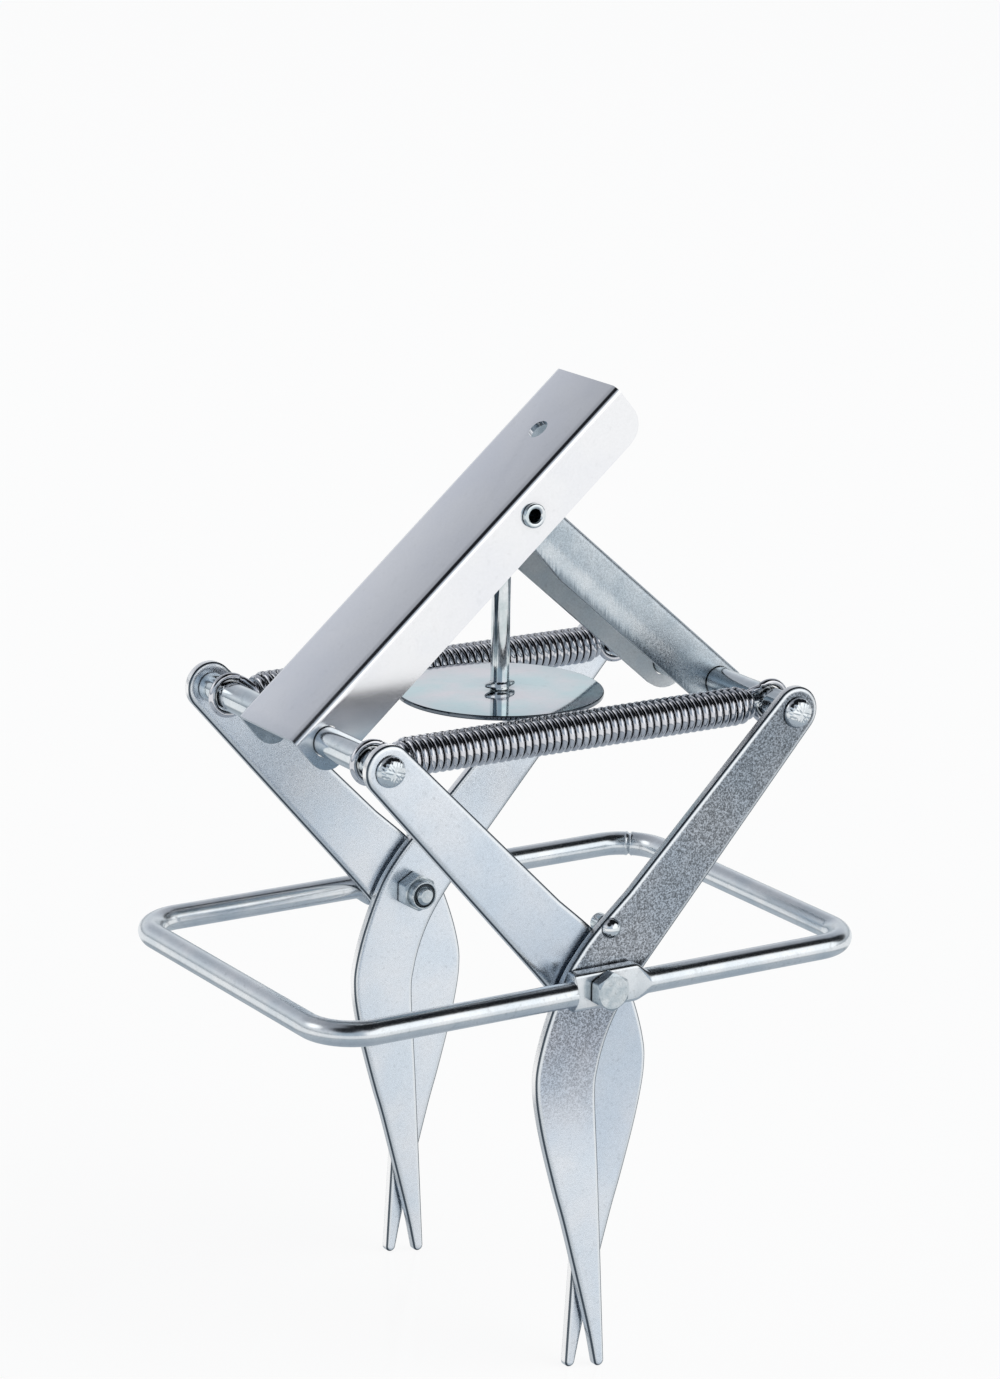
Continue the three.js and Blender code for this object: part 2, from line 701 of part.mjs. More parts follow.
function stopStuds() {
  // Both point backward from the right plates, which are stamped and studded alike.
  const studs = new THREE.Group();
  const [stopX, stopZ] = stopPlace();
  const toBackPlate = outerPlateOutside + innerPlateInside;
  studs.add(
    piece('front_stop_stud', stopStud(), 'polishedZinc', stopX, 0, stopZ),
    piece('back_stop_stud', stopStud(), 'polishedZinc', stopX, toBackPlate, stopZ),
  );
  return studs;
}

function boltAndNut(boltName, nutName) {
  // The bolt goes in from outside the ground frame, and its nut sits inside the jaws.
  const fastening = new THREE.Group();
  const bolt = piece(boltName, pivotBolt(), 'brightZinc', 0, -tabOuterFace - fitClearance);
  bolt.rotation.z = Math.PI;
  const nut = piece(nutName, lockingNut(), 'brightZinc', 0, fitClearance - innerPlateInside);
  fastening.add(bolt, nut);
  return fastening;
}

const frameRing = cut(
  groundFrame(), crossCylinder(boltHole, frameWidth + 2 * cutOverrun, 0, pivotHeight),
);

// Everything over the frame hangs on the pivot, which these groups have as their origin.
const rightHalf = new THREE.Group();
rightHalf.add(boltAndNut('front_bolt', 'front_nut'));
rightHalf.add(jawPair({
  outerPlate: 'front_right_jaw', innerPlate: 'back_right_jaw', crossbar: 'right_crossbar',
}, true));
rightHalf.add(stopStuds());

const leftHalf = new THREE.Group();
leftHalf.rotation.z = Math.PI;
leftHalf.add(boltAndNut('back_bolt', 'back_nut'));
leftHalf.add(jawPair({
  outerPlate: 'back_left_jaw', innerPlate: 'front_left_jaw', crossbar: 'left_crossbar',
}, false));

const outerLeverMesh = piece('outer_lever', outerLever(), 'pressedZinc', -crossbarReach, 0, crossbarRise);
outerLeverMesh.rotation.y = -leverAngle;
const innerLeverMesh = piece('inner_lever', innerLever(), 'grainyZinc', -crossbarReach, 0, crossbarRise);
innerLeverMesh.rotation.y = -leverAngle;
leftHalf.add(innerLeverMesh);

const trap = new THREE.Group();
trap.position.z = pivotHeight;
trap.add(
  rightHalf, leftHalf, outerLeverMesh,
  piece('hinge_pin', hingePin(), 'polishedZinc', 0, 0, pinRise),
  piece('trigger_sleeve', triggerSleeve(), 'polishedZinc', 0, 0, pinRise),
  piece('trigger_stem', triggerStem(), 'polishedZinc', 0, 0, pinRise),
  piece('trigger_pan', triggerPan(), 'polishedZinc', 0, 0, panRise),
  piece('front_spring', springTube(), 'springSteel', 0, -springOffset, crossbarRise),
  piece('back_spring', springTube(), 'springSteel', 0, springOffset, crossbarRise),
);

const moleTrap = new THREE.Group();
moleTrap.add(piece('ground_frame', frameRing, 'brightZinc'), trap);

export default moleTrap;
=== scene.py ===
import math

import bmesh
import bpy
import numpy as np
from mathutils import Matrix, Vector


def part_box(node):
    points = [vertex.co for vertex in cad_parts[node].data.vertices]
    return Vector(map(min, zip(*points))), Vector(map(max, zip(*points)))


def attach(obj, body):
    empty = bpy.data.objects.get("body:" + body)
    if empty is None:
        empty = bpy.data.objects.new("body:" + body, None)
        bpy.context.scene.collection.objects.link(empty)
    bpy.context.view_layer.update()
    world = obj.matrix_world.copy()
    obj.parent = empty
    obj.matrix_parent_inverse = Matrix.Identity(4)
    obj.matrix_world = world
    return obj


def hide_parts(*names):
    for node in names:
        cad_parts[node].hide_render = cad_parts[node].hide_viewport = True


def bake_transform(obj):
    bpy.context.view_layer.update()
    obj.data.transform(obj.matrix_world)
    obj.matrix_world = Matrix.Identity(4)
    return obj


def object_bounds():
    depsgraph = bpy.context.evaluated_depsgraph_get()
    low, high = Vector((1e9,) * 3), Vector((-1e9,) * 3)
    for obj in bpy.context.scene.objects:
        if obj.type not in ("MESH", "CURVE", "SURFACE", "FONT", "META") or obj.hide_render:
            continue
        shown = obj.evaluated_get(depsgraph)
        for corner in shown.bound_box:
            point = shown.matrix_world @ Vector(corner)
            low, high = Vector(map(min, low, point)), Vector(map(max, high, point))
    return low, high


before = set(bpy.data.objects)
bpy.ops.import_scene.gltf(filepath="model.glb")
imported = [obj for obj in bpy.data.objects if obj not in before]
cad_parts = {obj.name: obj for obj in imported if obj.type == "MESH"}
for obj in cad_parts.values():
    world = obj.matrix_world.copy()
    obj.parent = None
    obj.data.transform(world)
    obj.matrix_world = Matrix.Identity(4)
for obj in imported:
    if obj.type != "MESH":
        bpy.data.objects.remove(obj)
cadLow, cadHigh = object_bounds()

mm = 0.001
tau = 2 * math.pi
doubleGap = 1e-7  # points closer than this are one
crispAngle = 35  # edges that turn by more than this stay crisp


# Places that every piece shares, read from the frame's boxes

def middle(node):
    # centre of the node's box, half way from its low corner to its high one
    low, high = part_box(node)
    return (Vector(low) + Vector(high)) / 2


pivot = Vector((0, 0, middle("front_bolt").z))
rightBar = middle("right_crossbar")
leftBar = middle("left_crossbar")
pinPlace = middle("hinge_pin")
panPlace = middle("trigger_pan")
plateFaces = {name: (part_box(name)[0][1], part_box(name)[1][1]) for name in (
    "front_right_jaw", "back_right_jaw", "front_left_jaw", "back_left_jaw")}
print("frame read")


# Mesh helpers

def gridFaces(rows, columns, closeRows=False, closeColumns=False):
    # quads between neighbours of a rows x columns grid of points, wrapped where asked
    r = np.arange(rows if closeRows else rows - 1)[:, None]
    c = np.arange(columns if closeColumns else columns - 1)[None, :]
    nextR, nextC = (r + 1) % rows, (c + 1) % columns
    corners = [r * columns + c, r * columns + nextC, nextR * columns + nextC, nextR * columns + c]
    return np.stack(np.broadcast_arrays(*corners), axis=-1).reshape(-1, 4)


def shadeSmooth(mesh, sharp):
    # smooth shading, with the edges over the sharp angle kept crisp
    mesh.polygons.foreach_set("use_smooth", [True] * len(mesh.polygons))
    mesh.set_sharp_from_angle(angle=math.radians(sharp))


def makePiece(name, points, faces, material, body=None, nodes=(), sharp=crispAngle, merge=True):
    # one mesh object; where it is merged, its doubles go and its faces are turned outwards
    mesh = bpy.data.meshes.new(name)
    faceRows = faces if isinstance(faces, list) else faces.tolist()
    mesh.from_pydata(np.asarray(points).tolist(), [], faceRows)
    if merge:
        bm = bmesh.new()
        bm.from_mesh(mesh)
        bmesh.ops.remove_doubles(bm, verts=bm.verts, dist=doubleGap)
        bmesh.ops.recalc_face_normals(bm, faces=bm.faces)
        bm.to_mesh(mesh)
        bm.free()
    shadeSmooth(mesh, sharp)
    piece = bpy.data.objects.new(name, mesh)
    bpy.context.scene.collection.objects.link(piece)
    mesh.materials.append(material)
    if body:
        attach(piece, body)
    if nodes:
        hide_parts(*nodes)
    return piece


def linePiece(piece, lining, origin, axes, isInside):
    # the faces whose centres lie inside, measured from the origin along the axes, take the lining
    piece.data.materials.append(lining)
    centres = np.empty(3 * len(piece.data.polygons))
    piece.data.polygons.foreach_get("center", centres)
    centres = (centres.reshape(-1, 3) - np.asarray(origin)) @ np.asarray(axes).T
    piece.data.polygons.foreach_set("material_index", isInside(*centres.T).astype(np.int32))


def turn(profile, segments=64):
    # surface of revolution about Y: (radius, height) rows against the angle round the axis
    profile = np.asarray(profile, float)
    angle = np.arange(segments) / segments * tau
    r, h = profile[:, 0][:, None], profile[:, 1][:, None]
    points = np.stack([r * np.cos(angle), h + 0 * angle, r * np.sin(angle)], axis=-1)
    return points.reshape(-1, 3), gridFaces(len(profile), segments, closeColumns=True)


def arc(centre, radius, start, end, steps):
    # points on a circle in a plane, angles in degrees
    angle = np.radians(np.linspace(start, end, steps + 1))
    spokes = np.stack([np.cos(angle), np.sin(angle)], axis=-1)
    return np.asarray(centre, float) + radius * spokes


def roundedProfile(corners, steps=5):
    # a (radius, height) profile whose inner corners are rounded by quadratic bends, (1 - t)^2 of
    # the start, 2 t (1 - t) of the corner and t^2 of the end; corners are (radius, height, rounding)
    rows = [corners[0][:2]]
    for before, corner, after in zip(corners, corners[1:], corners[2:]):
        p, a, b = (np.array(c[:2], float) for c in (corner, before, after))
        reach = corner[2] if len(corner) > 2 else 0
        if not reach:
            rows.append(p)
            continue
        gaps = [np.linalg.norm(q - p) for q in (a, b)]
        start, end = (p + (q - p) / gap * min(reach, gap / 2) for q, gap in zip((a, b), gaps))
        t = np.linspace(0, 1, steps + 1)[:, None]
        rows.extend((1 - t) ** 2 * start + 2 * t * (1 - t) * p + t ** 2 * end)
    rows.append(corners[-1][:2])
    return np.array(rows, float)


def closedTurn(corners, segments=72, steps=6):
    # a turned ring whose rounded profile closes on itself
    profile = roundedProfile(corners, steps)
    return turn(np.vstack([profile, profile[:1]]), segments)


def placed(points, place=(0, 0, 0), axes=None):
    # moves points to a place, along the given axes where there are any
    points = np.asarray(points, float)
    if axes is not None:
        points = points @ np.asarray(axes, float)
    return points + np.asarray(place, float)


def drill(piece, cutters):
    # takes each cutter (points, faces) out of the piece, with no modifier left on it
    for points, faces in cutters:
        tool = makePiece("cutter", points, faces, piece.data.materials[0])
        modifier = piece.modifiers.new("hole", "BOOLEAN")
        modifier.operation = "DIFFERENCE"
        modifier.solver = "EXACT"
        modifier.object = tool
        depsgraph = bpy.context.evaluated_depsgraph_get()
        cutPiece = piece.evaluated_get(depsgraph)
        cutMesh = bpy.data.meshes.new_from_object(cutPiece, depsgraph=depsgraph)
        piece.modifiers.clear()
        old = piece.data
        piece.data = cutMesh
        bpy.data.meshes.remove(old)
        bpy.data.objects.remove(tool)
    shadeSmooth(piece.data, crispAngle)


def rod(radius, low, high, x=0.0, z=0.0, segments=48):
    # a plain cutter along Y: a profile that runs out from the axis and back, turned about it
    points, faces = turn([(0, low), (radius, low), (radius, high), (0, high)], segments)
    return placed(points, (x, 0, z)), faces


# Materials

def linear(code):
    # sRGB hex to linear colour
    parts = [int(code[i:i + 2], 16) / 255 for i in (1, 3, 5)]
    return [c / 12.92 if c <= 0.04045 else ((c + 0.055) / 1.055) ** 2.4 for c in parts] + [1.0]


def addNode(tree, kind, settings=None, values=None, links=None, stops=()):
    # one node with its settings, its socket values, the outputs that feed it and, where it is a
    # colour ramp, its stops of (position, sRGB hex)
    made = tree.nodes.new(kind)
    for name, value in (settings or {}).items():
        setattr(made, name, value)
    for socket, value in (values or {}).items():
        made.inputs[socket].default_value = value
    for socket, source in (links or {}).items():
        tree.links.new(source, made.inputs[socket])
    if stops:
        elements = made.color_ramp.elements
        for _ in stops[2:]:
            elements.new(0.5)
        for element, (position, code) in zip(elements, stops):
            element.position = position
            element.color = linear(code)
    return made


def newMaterial(name):
    # an empty material, its node tree, and its Object and Normal coordinates
    material = bpy.data.materials.new(name)
    material.use_nodes = True
    tree = material.node_tree
    tree.nodes.clear()
    coordinates = addNode(tree, "ShaderNodeTexCoord").outputs
    return material, tree, coordinates["Object"], coordinates["Normal"]


multiply = {"data_type": "RGBA", "blend_type": "MULTIPLY"}
zincFilm = {
    "crystalHeight": 0.05 * mm, "creviceReach": 3 * mm, "streaksPerMetre": 1000.0,
    "rollStart": 0.996, "rollEnd": 0.98,
}


def changeAcross(tree, place, change):
    # share of the way from low to high along a direction, made ragged by drawn-out noise
    along = addNode(tree, "ShaderNodeVectorMath", {"operation": "DOT_PRODUCT"},
                    {1: change["direction"]}, {0: place})
    factor = addNode(tree, "ShaderNodeMapRange", {}, {
        "From Min": change["low"], "From Max": change["high"]},
        {"Value": along.outputs["Value"]}).outputs["Result"]
    if "ragged" in change:
        stretch = addNode(tree, "ShaderNodeMapping", {}, {
            "Rotation": (0, change["turn"], 0), "Scale": change["streak"]}, {"Vector": place})
        streak = addNode(tree, "ShaderNodeTexNoise", {}, {
            "Scale": zincFilm["streaksPerMetre"], "Detail": 3.0},
            {"Vector": stretch.outputs["Vector"]})
        offset = addNode(tree, "ShaderNodeMapRange", {}, {
            "To Min": -change["ragged"], "To Max": change["ragged"]},
            {"Value": streak.outputs["Fac"]})
        factor = addNode(tree, "ShaderNodeMath", {"operation": "ADD"}, {}, {
            0: factor, 1: offset.outputs["Result"]}).outputs["Value"]
    return factor


def cutEdgeAndPaintedLight(tree, surface, look, colour, speck):
    # lays the edge's tones over the colour where the surface has turned from the faces, which look
    # along one axis; the tones are partly the cut edge's own, partly painted highlight and painted shade
    facing = addNode(tree, "ShaderNodeSeparateXYZ", {}, {}, {"Vector": surface})
    turned = addNode(tree, "ShaderNodeMath", {"operation": "ABSOLUTE"}, {}, {
        0: facing.outputs[look["edgeAxis"]]}).outputs["Value"]
    rolled = addNode(tree, "ShaderNodeMapRange", {}, {
        "From Min": zincFilm["rollStart"], "From Max": zincFilm["rollEnd"]}, {"Value": turned})
    # painted highlight and painted dark lines along the roll, set by how far the surface has turned
    tone = addNode(tree, "ShaderNodeValToRGB", {}, {}, {"Fac": turned}, look["edge"])
    speckledEdge = addNode(tree, "ShaderNodeMix", multiply, {"Factor": 0.2}, {
        "A": tone.outputs["Color"], "B": speck})
    return addNode(tree, "ShaderNodeMix", {"data_type": "RGBA"}, {}, {
        "Factor": rolled.outputs["Result"], "A": colour,
        "B": speckledEdge.outputs["Result"]}).outputs["Result"]


def zincFinish(name, look):
    # electroplated zinc: a bright metal whose fine crystals mottle the colour and the gloss, with
    # a slow drift in tint, dull pits, painted shade in narrow gaps, and where asked a change across the
    # piece
    material, tree, place, surface = newMaterial(name)
    grain, cloud, pits = (addNode(tree, "ShaderNodeTexNoise", {}, {
        "Scale": 1000 / look[size], "Detail": detail, "Roughness": rough},
        {"Vector": place}).outputs["Fac"] for size, detail, rough in (
            ("grainMm", 3.0, 0.6), ("cloudMm", 3.0, 0.5), ("pitMm", 2.0, 0.6)))
    colour = addNode(tree, "ShaderNodeValToRGB", {}, {}, {"Fac": cloud}, [
        (0.36, look["coolTint"]), (0.64, look["warmTint"])]).outputs["Color"]
    speck = addNode(tree, "ShaderNodeMapRange", {}, {
        "From Min": 0.36, "From Max": 0.62, "To Min": 1 - look["speckle"], "To Max": 1.0},
        {"Value": grain}).outputs["Result"]
    pitted = addNode(tree, "ShaderNodeMapRange", {}, {
        "From Min": 0.6, "From Max": 0.72, "To Min": 1.0, "To Max": 1 - look["pitDepth"]},
        {"Value": pits}).outputs["Result"]
    gloss = addNode(tree, "ShaderNodeMapRange", {}, {
        "From Min": 0.3, "From Max": 0.7, "To Min": look["roughness"] - look["glossDrift"],
        "To Max": look["roughness"] + look["glossDrift"]}, {"Value": grain}).outputs["Result"]
    if "change" in look:
        change = look["change"]
        factor = changeAcross(tree, place, change)
        tone = addNode(tree, "ShaderNodeValToRGB", {}, {}, {"Fac": factor}, change["stops"])
        colour = addNode(tree, "ShaderNodeMix", multiply, {"Factor": 1.0}, {
            "A": colour, "B": tone.outputs["Color"]}).outputs["Result"]
        # the crystals stand out by a power that grows from smooth to coarse
        power = addNode(tree, "ShaderNodeMapRange", {}, {
            "From Min": change["fine"], "From Max": change["rough"],
            "To Min": change.get("smooth", 1.0), "To Max": change["coarse"]}, {"Value": factor})
        speck = addNode(tree, "ShaderNodeMath", {"operation": "POWER"}, {}, {
            0: speck, 1: power.outputs["Result"]}).outputs["Value"]
        if "scuff" in change:
            # rougher towards the low end
            worn = addNode(tree, "ShaderNodeMapRange", {}, {
                "To Min": change["scuff"], "To Max": 0.0}, {"Value": factor})
            gloss = addNode(tree, "ShaderNodeMapRange", {"clamp": False}, {"From Max": 1.0}, {
                "Value": gloss, "To Min": worn.outputs["Result"]}).outputs["Result"]
    shade = addNode(tree, "ShaderNodeMath", {"operation": "MULTIPLY"}, {}, {0: speck, 1: pitted})
    colour = addNode(tree, "ShaderNodeMix", multiply, {"Factor": 1.0}, {
        "A": colour, "B": shade.outputs["Value"]}).outputs["Result"]
    if "edge" in look:
        colour = cutEdgeAndPaintedLight(tree, surface, look, colour, speck)
    # painted shade: the colour darkens where ambient occlusion finds surfaces close by
    hollow = addNode(tree, "ShaderNodeAmbientOcclusion", {"samples": 4}, {
        "Distance": zincFilm["creviceReach"]})
    shaded = addNode(tree, "ShaderNodeMapRange", {}, {
        "From Min": 0.2, "From Max": 0.85, "To Min": 1 - look["creviceShade"], "To Max": 1.0},
        {"Value": hollow.outputs["AO"]})
    colour = addNode(tree, "ShaderNodeMix", multiply, {"Factor": 1.0}, {
        "A": colour, "B": shaded.outputs["Result"]})
    bump = addNode(tree, "ShaderNodeBump", {}, {
        "Strength": look["bump"], "Distance": zincFilm["crystalHeight"]}, {"Height": grain})
    shader = addNode(tree, "ShaderNodeBsdfPrincipled", {}, {
        "Metallic": look.get("metallic", 1.0)}, {
        "Base Color": colour.outputs["Result"], "Roughness": gloss,
        "Normal": bump.outputs["Normal"]})
    addNode(tree, "ShaderNodeOutputMaterial", {}, {}, {"Surface": shader.outputs["BSDF"]})
    return material


# zinc over blanked steel plate: pale blue with the fine speckle of its crystals, a painted highlight
# along the edge's roll, and a sheared side that is grey between painted dark lines
plateLook = {
    "coolTint": "#E6F0FA", "warmTint": "#F1F6FC", "grainMm": 0.5, "cloudMm": 20, "pitMm": 1.3,
    "speckle": 0.15, "pitDepth": 0.12, "roughness": 0.28, "glossDrift": 0.05, "bump": 0.2,
    "creviceShade": 0.1, "edgeAxis": "Y", "edge": [
        (0.0, "#FFFFFF"), (0.2, "#F6F8FA"), (0.4, "#5E676F"), (0.88, "#59626A"), (0.94, "#EDF2F6")]}
# painted light and shade by height: paler towards the tips and the bar, darker about the pivot
plateZinc = zincFinish("speckled_zinc_on_plate", dict(plateLook, change={
    "direction": (0, 0, 1), "low": pivot.z - 128 * mm, "high": rightBar.z, "coarse": 1.0,
    "fine": 0.0, "rough": 1.0, "stops": [
        (0.0, "#FFFFFF"), (0.27, "#FCFDFE"), (0.38, "#EDF0F4"), (0.5, "#E1E6EB"), (0.62, "#DBE0E6"),
        (0.76, "#EEF1F4"), (1.0, "#FFFFFF")]}))
# the back plates carry no such painted gradient
evenZinc = zincFinish("even_zinc_on_plate", plateLook)
# the same with a coarse dull patch from the arm to the top of the blade, dark with bright grains
patchedZinc = zincFinish("patchy_zinc_on_plate", dict(plateLook, speckle=0.36, bump=0.6, change={
    "direction": (0.1, 0, 1), "low": pivot.z - 75 * mm, "high": pivot.z + 90 * mm, "coarse": 3.2,
    "smooth": 0.25, "fine": 0.16, "rough": 0.42, "stops": [
        (0.1, "#FFFFFF"), (0.22, "#ECEEF2"), (0.34, "#D6D8DE"), (0.5, "#D4D7DB"), (0.78, "#C6CACE"),
        (1.0, "#B4B8BC")]}))
# zinc over drawn round wire: smooth, so it shows long bright and dark streaks
wireZinc = zincFinish("bright_zinc_on_drawn_wire", {
    "coolTint": "#D9E1E7", "warmTint": "#E8ECEF", "grainMm": 0.6, "cloudMm": 10, "pitMm": 2.0,
    "speckle": 0.06, "pitDepth": 0.12, "roughness": 0.22, "glossDrift": 0.03, "bump": 0.06,
    "creviceShade": 0.4})
# the crossbars are turned rather than drawn: brighter and a little smoother
barZinc = zincFinish("bright_zinc_on_turned_bar", {
    "coolTint": "#D3DDE3", "warmTint": "#E8EDF0", "grainMm": 0.8, "cloudMm": 8, "pitMm": 2.5,
    "speckle": 0.05, "pitDepth": 0.12, "roughness": 0.12, "glossDrift": 0.03, "bump": 0.06,
    "creviceShade": 0.6})
# bolts and nuts: bright, slightly mottled from the barrel they were plated in
boltZinc = zincFinish("barrel_plated_zinc", {
    "coolTint": "#BCC8CF", "warmTint": "#D9E0E4", "grainMm": 0.7, "cloudMm": 3, "pitMm": 1.0,
    "speckle": 0.14, "pitDepth": 0.25, "roughness": 0.22, "glossDrift": 0.06, "bump": 0.25,
    "creviceShade": 0.65})
# zinc over smooth pressed sheet: an even satin sheen, rougher towards the heel's ears, where a painted
# reflection makes it darker and bluer
rise = math.atan2(pinPlace.z - leftBar.z, pinPlace.x - leftBar.x)
earTurn = math.radians(60)
earward = (math.cos(rise + earTurn), 0, math.sin(rise + earTurn))
earBase = leftBar.x * earward[0] + leftBar.z * earward[2]
pressedZinc = zincFinish("smooth_zinc_on_pressed_sheet", {
    "coolTint": "#EEF0F5", "warmTint": "#F5F6F8", "grainMm": 0.6, "cloudMm": 30, "pitMm": 3,
    "speckle": 0.03, "pitDepth": 0.03, "roughness": 0.12, "glossDrift": 0.02, "bump": 0.04,
    "creviceShade": 0.35, "change": {
        "direction": earward, "low": earBase - 10 * mm, "high": earBase + 30 * mm, "scuff": 0.2,
        # painted reflection: darker and bluer towards the heel's ears
        "coarse": 1.0, "fine": 0.0, "rough": 1.0, "stops": [
            (0.0, "#9FB0BB"), (0.18, "#AEBDC7"), (0.3, "#E9EDF0"), (0.4, "#FFFFFF")]}})
# the channels' insides: under the pedal a dull blue grey, darker than the zinc outside as painted
# shade; in the inner lever pale and less metallic, lighter than the zinc outside as painted light
pedalLining = zincFinish("dull_zinc_inside_pedal", {
    "coolTint": "#8795A0", "warmTint": "#A3B0BA", "grainMm": 0.6, "cloudMm": 6, "pitMm": 1.5,
    "speckle": 0.15, "pitDepth": 0.2, "roughness": 0.3, "glossDrift": 0.06, "bump": 0.3,
    "creviceShade": 0.4})
leverLining = zincFinish("pale_zinc_inside_lever", {
    "coolTint": "#E8F0F4", "warmTint": "#F6F9FA", "grainMm": 0.5, "cloudMm": 12, "pitMm": 1.5,
    "speckle": 0.12, "pitDepth": 0.12, "roughness": 0.65, "glossDrift": 0.06, "bump": 0.3,
    "creviceShade": 0.0, "metallic": 0.2})
# hot dipped sheet: coarse grain, with a painted reflection, a bright streaky band, low on the flange
slope = math.atan2(pinPlace.z - rightBar.z, rightBar.x - pinPlace.x)
leverUp = (math.sin(slope), 0, math.cos(slope))
leverBase = rightBar.x * leverUp[0] + rightBar.z * leverUp[2]
grainyZinc = zincFinish("grainy_zinc_on_rolled_sheet", {
    "coolTint": "#D3DDE4", "warmTint": "#E2E9EE", "grainMm": 0.55, "cloudMm": 9, "pitMm": 1.1,
    "speckle": 0.22, "pitDepth": 0.2, "roughness": 0.28, "glossDrift": 0.08, "bump": 0.5,
    "creviceShade": 0.45, "change": {
        "direction": leverUp, "low": leverBase - 9.2 * mm, "high": leverBase + 7.1 * mm,
        "turn": slope, "streak": (2.2, 1, 0.12), "ragged": 0.16, "coarse": 1.6, "fine": 0.3,
        # painted shade at the flange's free edge, then the painted reflection's bright band
        "rough": 0.5, "stops": [
            (0.04, "#A8AFB5"), (0.12, "#E4E8EB"), (0.2, "#FFFFFF"), (0.36, "#FFFFFF"),
            (0.46, "#E3E8EC"), (0.75, "#EEF2F5"), (1.0, "#F4F6F8")]}})
# thin bright zinc with a passivated film: nearly a mirror
mirrorZinc = zincFinish("bright_zinc_on_rivets", {
    "coolTint": "#D5E0E4", "warmTint": "#ECEFF1", "grainMm": 0.9, "cloudMm": 5, "pitMm": 3,
    "speckle": 0.04, "pitDepth": 0.1, "roughness": 0.1, "glossDrift": 0.03, "bump": 0.05,
    "creviceShade": 0.2})
# the stem: the same mirror with the faint pull marks of the bar
rodZinc = zincFinish("bright_zinc_on_rod", {
    "coolTint": "#CBD6D8", "warmTint": "#E9EDEF", "grainMm": 0.9, "cloudMm": 4, "pitMm": 2,
    "speckle": 0.06, "pitDepth": 0.12, "roughness": 0.1, "glossDrift": 0.03, "bump": 0.06,
    "creviceShade": 0.5})
# the pan: rolled sheet under a film that drifts from pale blue-green to pink
panZinc = zincFinish("iridescent_zinc_on_sheet", {
    "coolTint": "#C4DADF", "warmTint": "#DCDAE0", "grainMm": 1.5, "cloudMm": 18, "pitMm": 4,
    "speckle": 0.03, "pitDepth": 0.06, "roughness": 0.07, "glossDrift": 0.02, "bump": 0.03,
    # the rim is darker, darkest on its rounding: partly the cut edge's own tone, partly painted shade
    "creviceShade": 0.3, "edgeAxis": "Z", "edge": [(0.0, "#6A727A"), (0.8, "#4E565E")]})
# plated spring wire: glassy, so each turn carries one hard highlight between dark gaps, deepened by
# strong painted shade
springZinc = zincFinish("plated_spring_wire", {
    "coolTint": "#D0D2D8", "warmTint": "#E2E3E7", "grainMm": 1.0, "cloudMm": 6, "pitMm": 2,
    "speckle": 0.06, "pitDepth": 0.1, "roughness": 0.06, "glossDrift": 0.02, "bump": 0.05,
    "creviceShade": 0.9})


def nylonFinish():
    # the lock nuts' insert: dull dark plastic, faintly mottled
    material, tree, place, _ = newMaterial("nylon_insert")
    cloud = addNode(tree, "ShaderNodeTexNoise", {}, {"Scale": 1500.0, "Detail": 2.0}, {
        "Vector": place})
    colour = addNode(tree, "ShaderNodeValToRGB", {}, {}, {"Fac": cloud.outputs["Fac"]}, [
        (0.3, "#2C343B"), (0.7, "#3D4851")])
    shader = addNode(tree, "ShaderNodeBsdfPrincipled", {}, {"Roughness": 0.5}, {
        "Base Color": colour.outputs["Color"]})
    addNode(tree, "ShaderNodeOutputMaterial", {}, {}, {"Surface": shader.outputs["BSDF"]})
    return material


nylon = nylonFinish()
print("materials made")


# Ground frame: a round section carried round a rounded rectangle and flattened at two tabs

groundFrame = {
    "wire": 8 * mm, "cornerRadius": 15 * mm, "tabLength": 22.5 * mm, "tabHeight": 12.2 * mm,
    "tabThickness": 5 * mm, "tabInset": 1.8 * mm, "tabEdge": 1.3 * mm, "step": 0.8 * mm,
    "slope": 4 * mm, "boltHole": 3.475 * mm, "sides": 48,
    "weldHeading": 140, "weldPinch": 0.45 * mm, "weldWide": 0.55 * mm, "weldBurr": 0.2 * mm,
    "burrShare": 1.6,
}


def frameRoute(sizes, run, end):
    # half the ring's centre line: places along the front run, then two corners and the far end
    half = sizes["tabLength"] / 2
    stepped = -half - sizes["step"]
    front = np.concatenate([
        np.linspace(-end + sizes["cornerRadius"], stepped, 24, endpoint=False),
        np.linspace(stepped, -half, 8, endpoint=False), np.linspace(-half, half, 16, endpoint=False),
        np.linspace(half, half + sizes["slope"], 10, endpoint=False),
        np.linspace(half + sizes["slope"], end - sizes["cornerRadius"], 24, endpoint=False)])
    xs, ys, headings = [front], [np.full(front.size, -run)], [np.zeros(front.size)]
    cornerX, cornerY = end - sizes["cornerRadius"], run - sizes["cornerRadius"]
    turnIn = np.linspace(0, tau / 4, 72, endpoint=False)
    side = np.linspace(-cornerY, cornerY, 20, endpoint=False)
    for first, sign in ((0, -1), (tau / 4, 1)):
        heading = first + turnIn
        xs.append(cornerX + sizes["cornerRadius"] * np.sin(heading))
        ys.append(sign * cornerY - sizes["cornerRadius"] * np.cos(heading))
        headings.append(heading)
        if sign < 0:
            xs.append(np.full(side.size, end))
            ys.append(side)
            headings.append(np.full(side.size, tau / 4))
    return np.concatenate(xs), np.concatenate(ys), np.concatenate(headings)


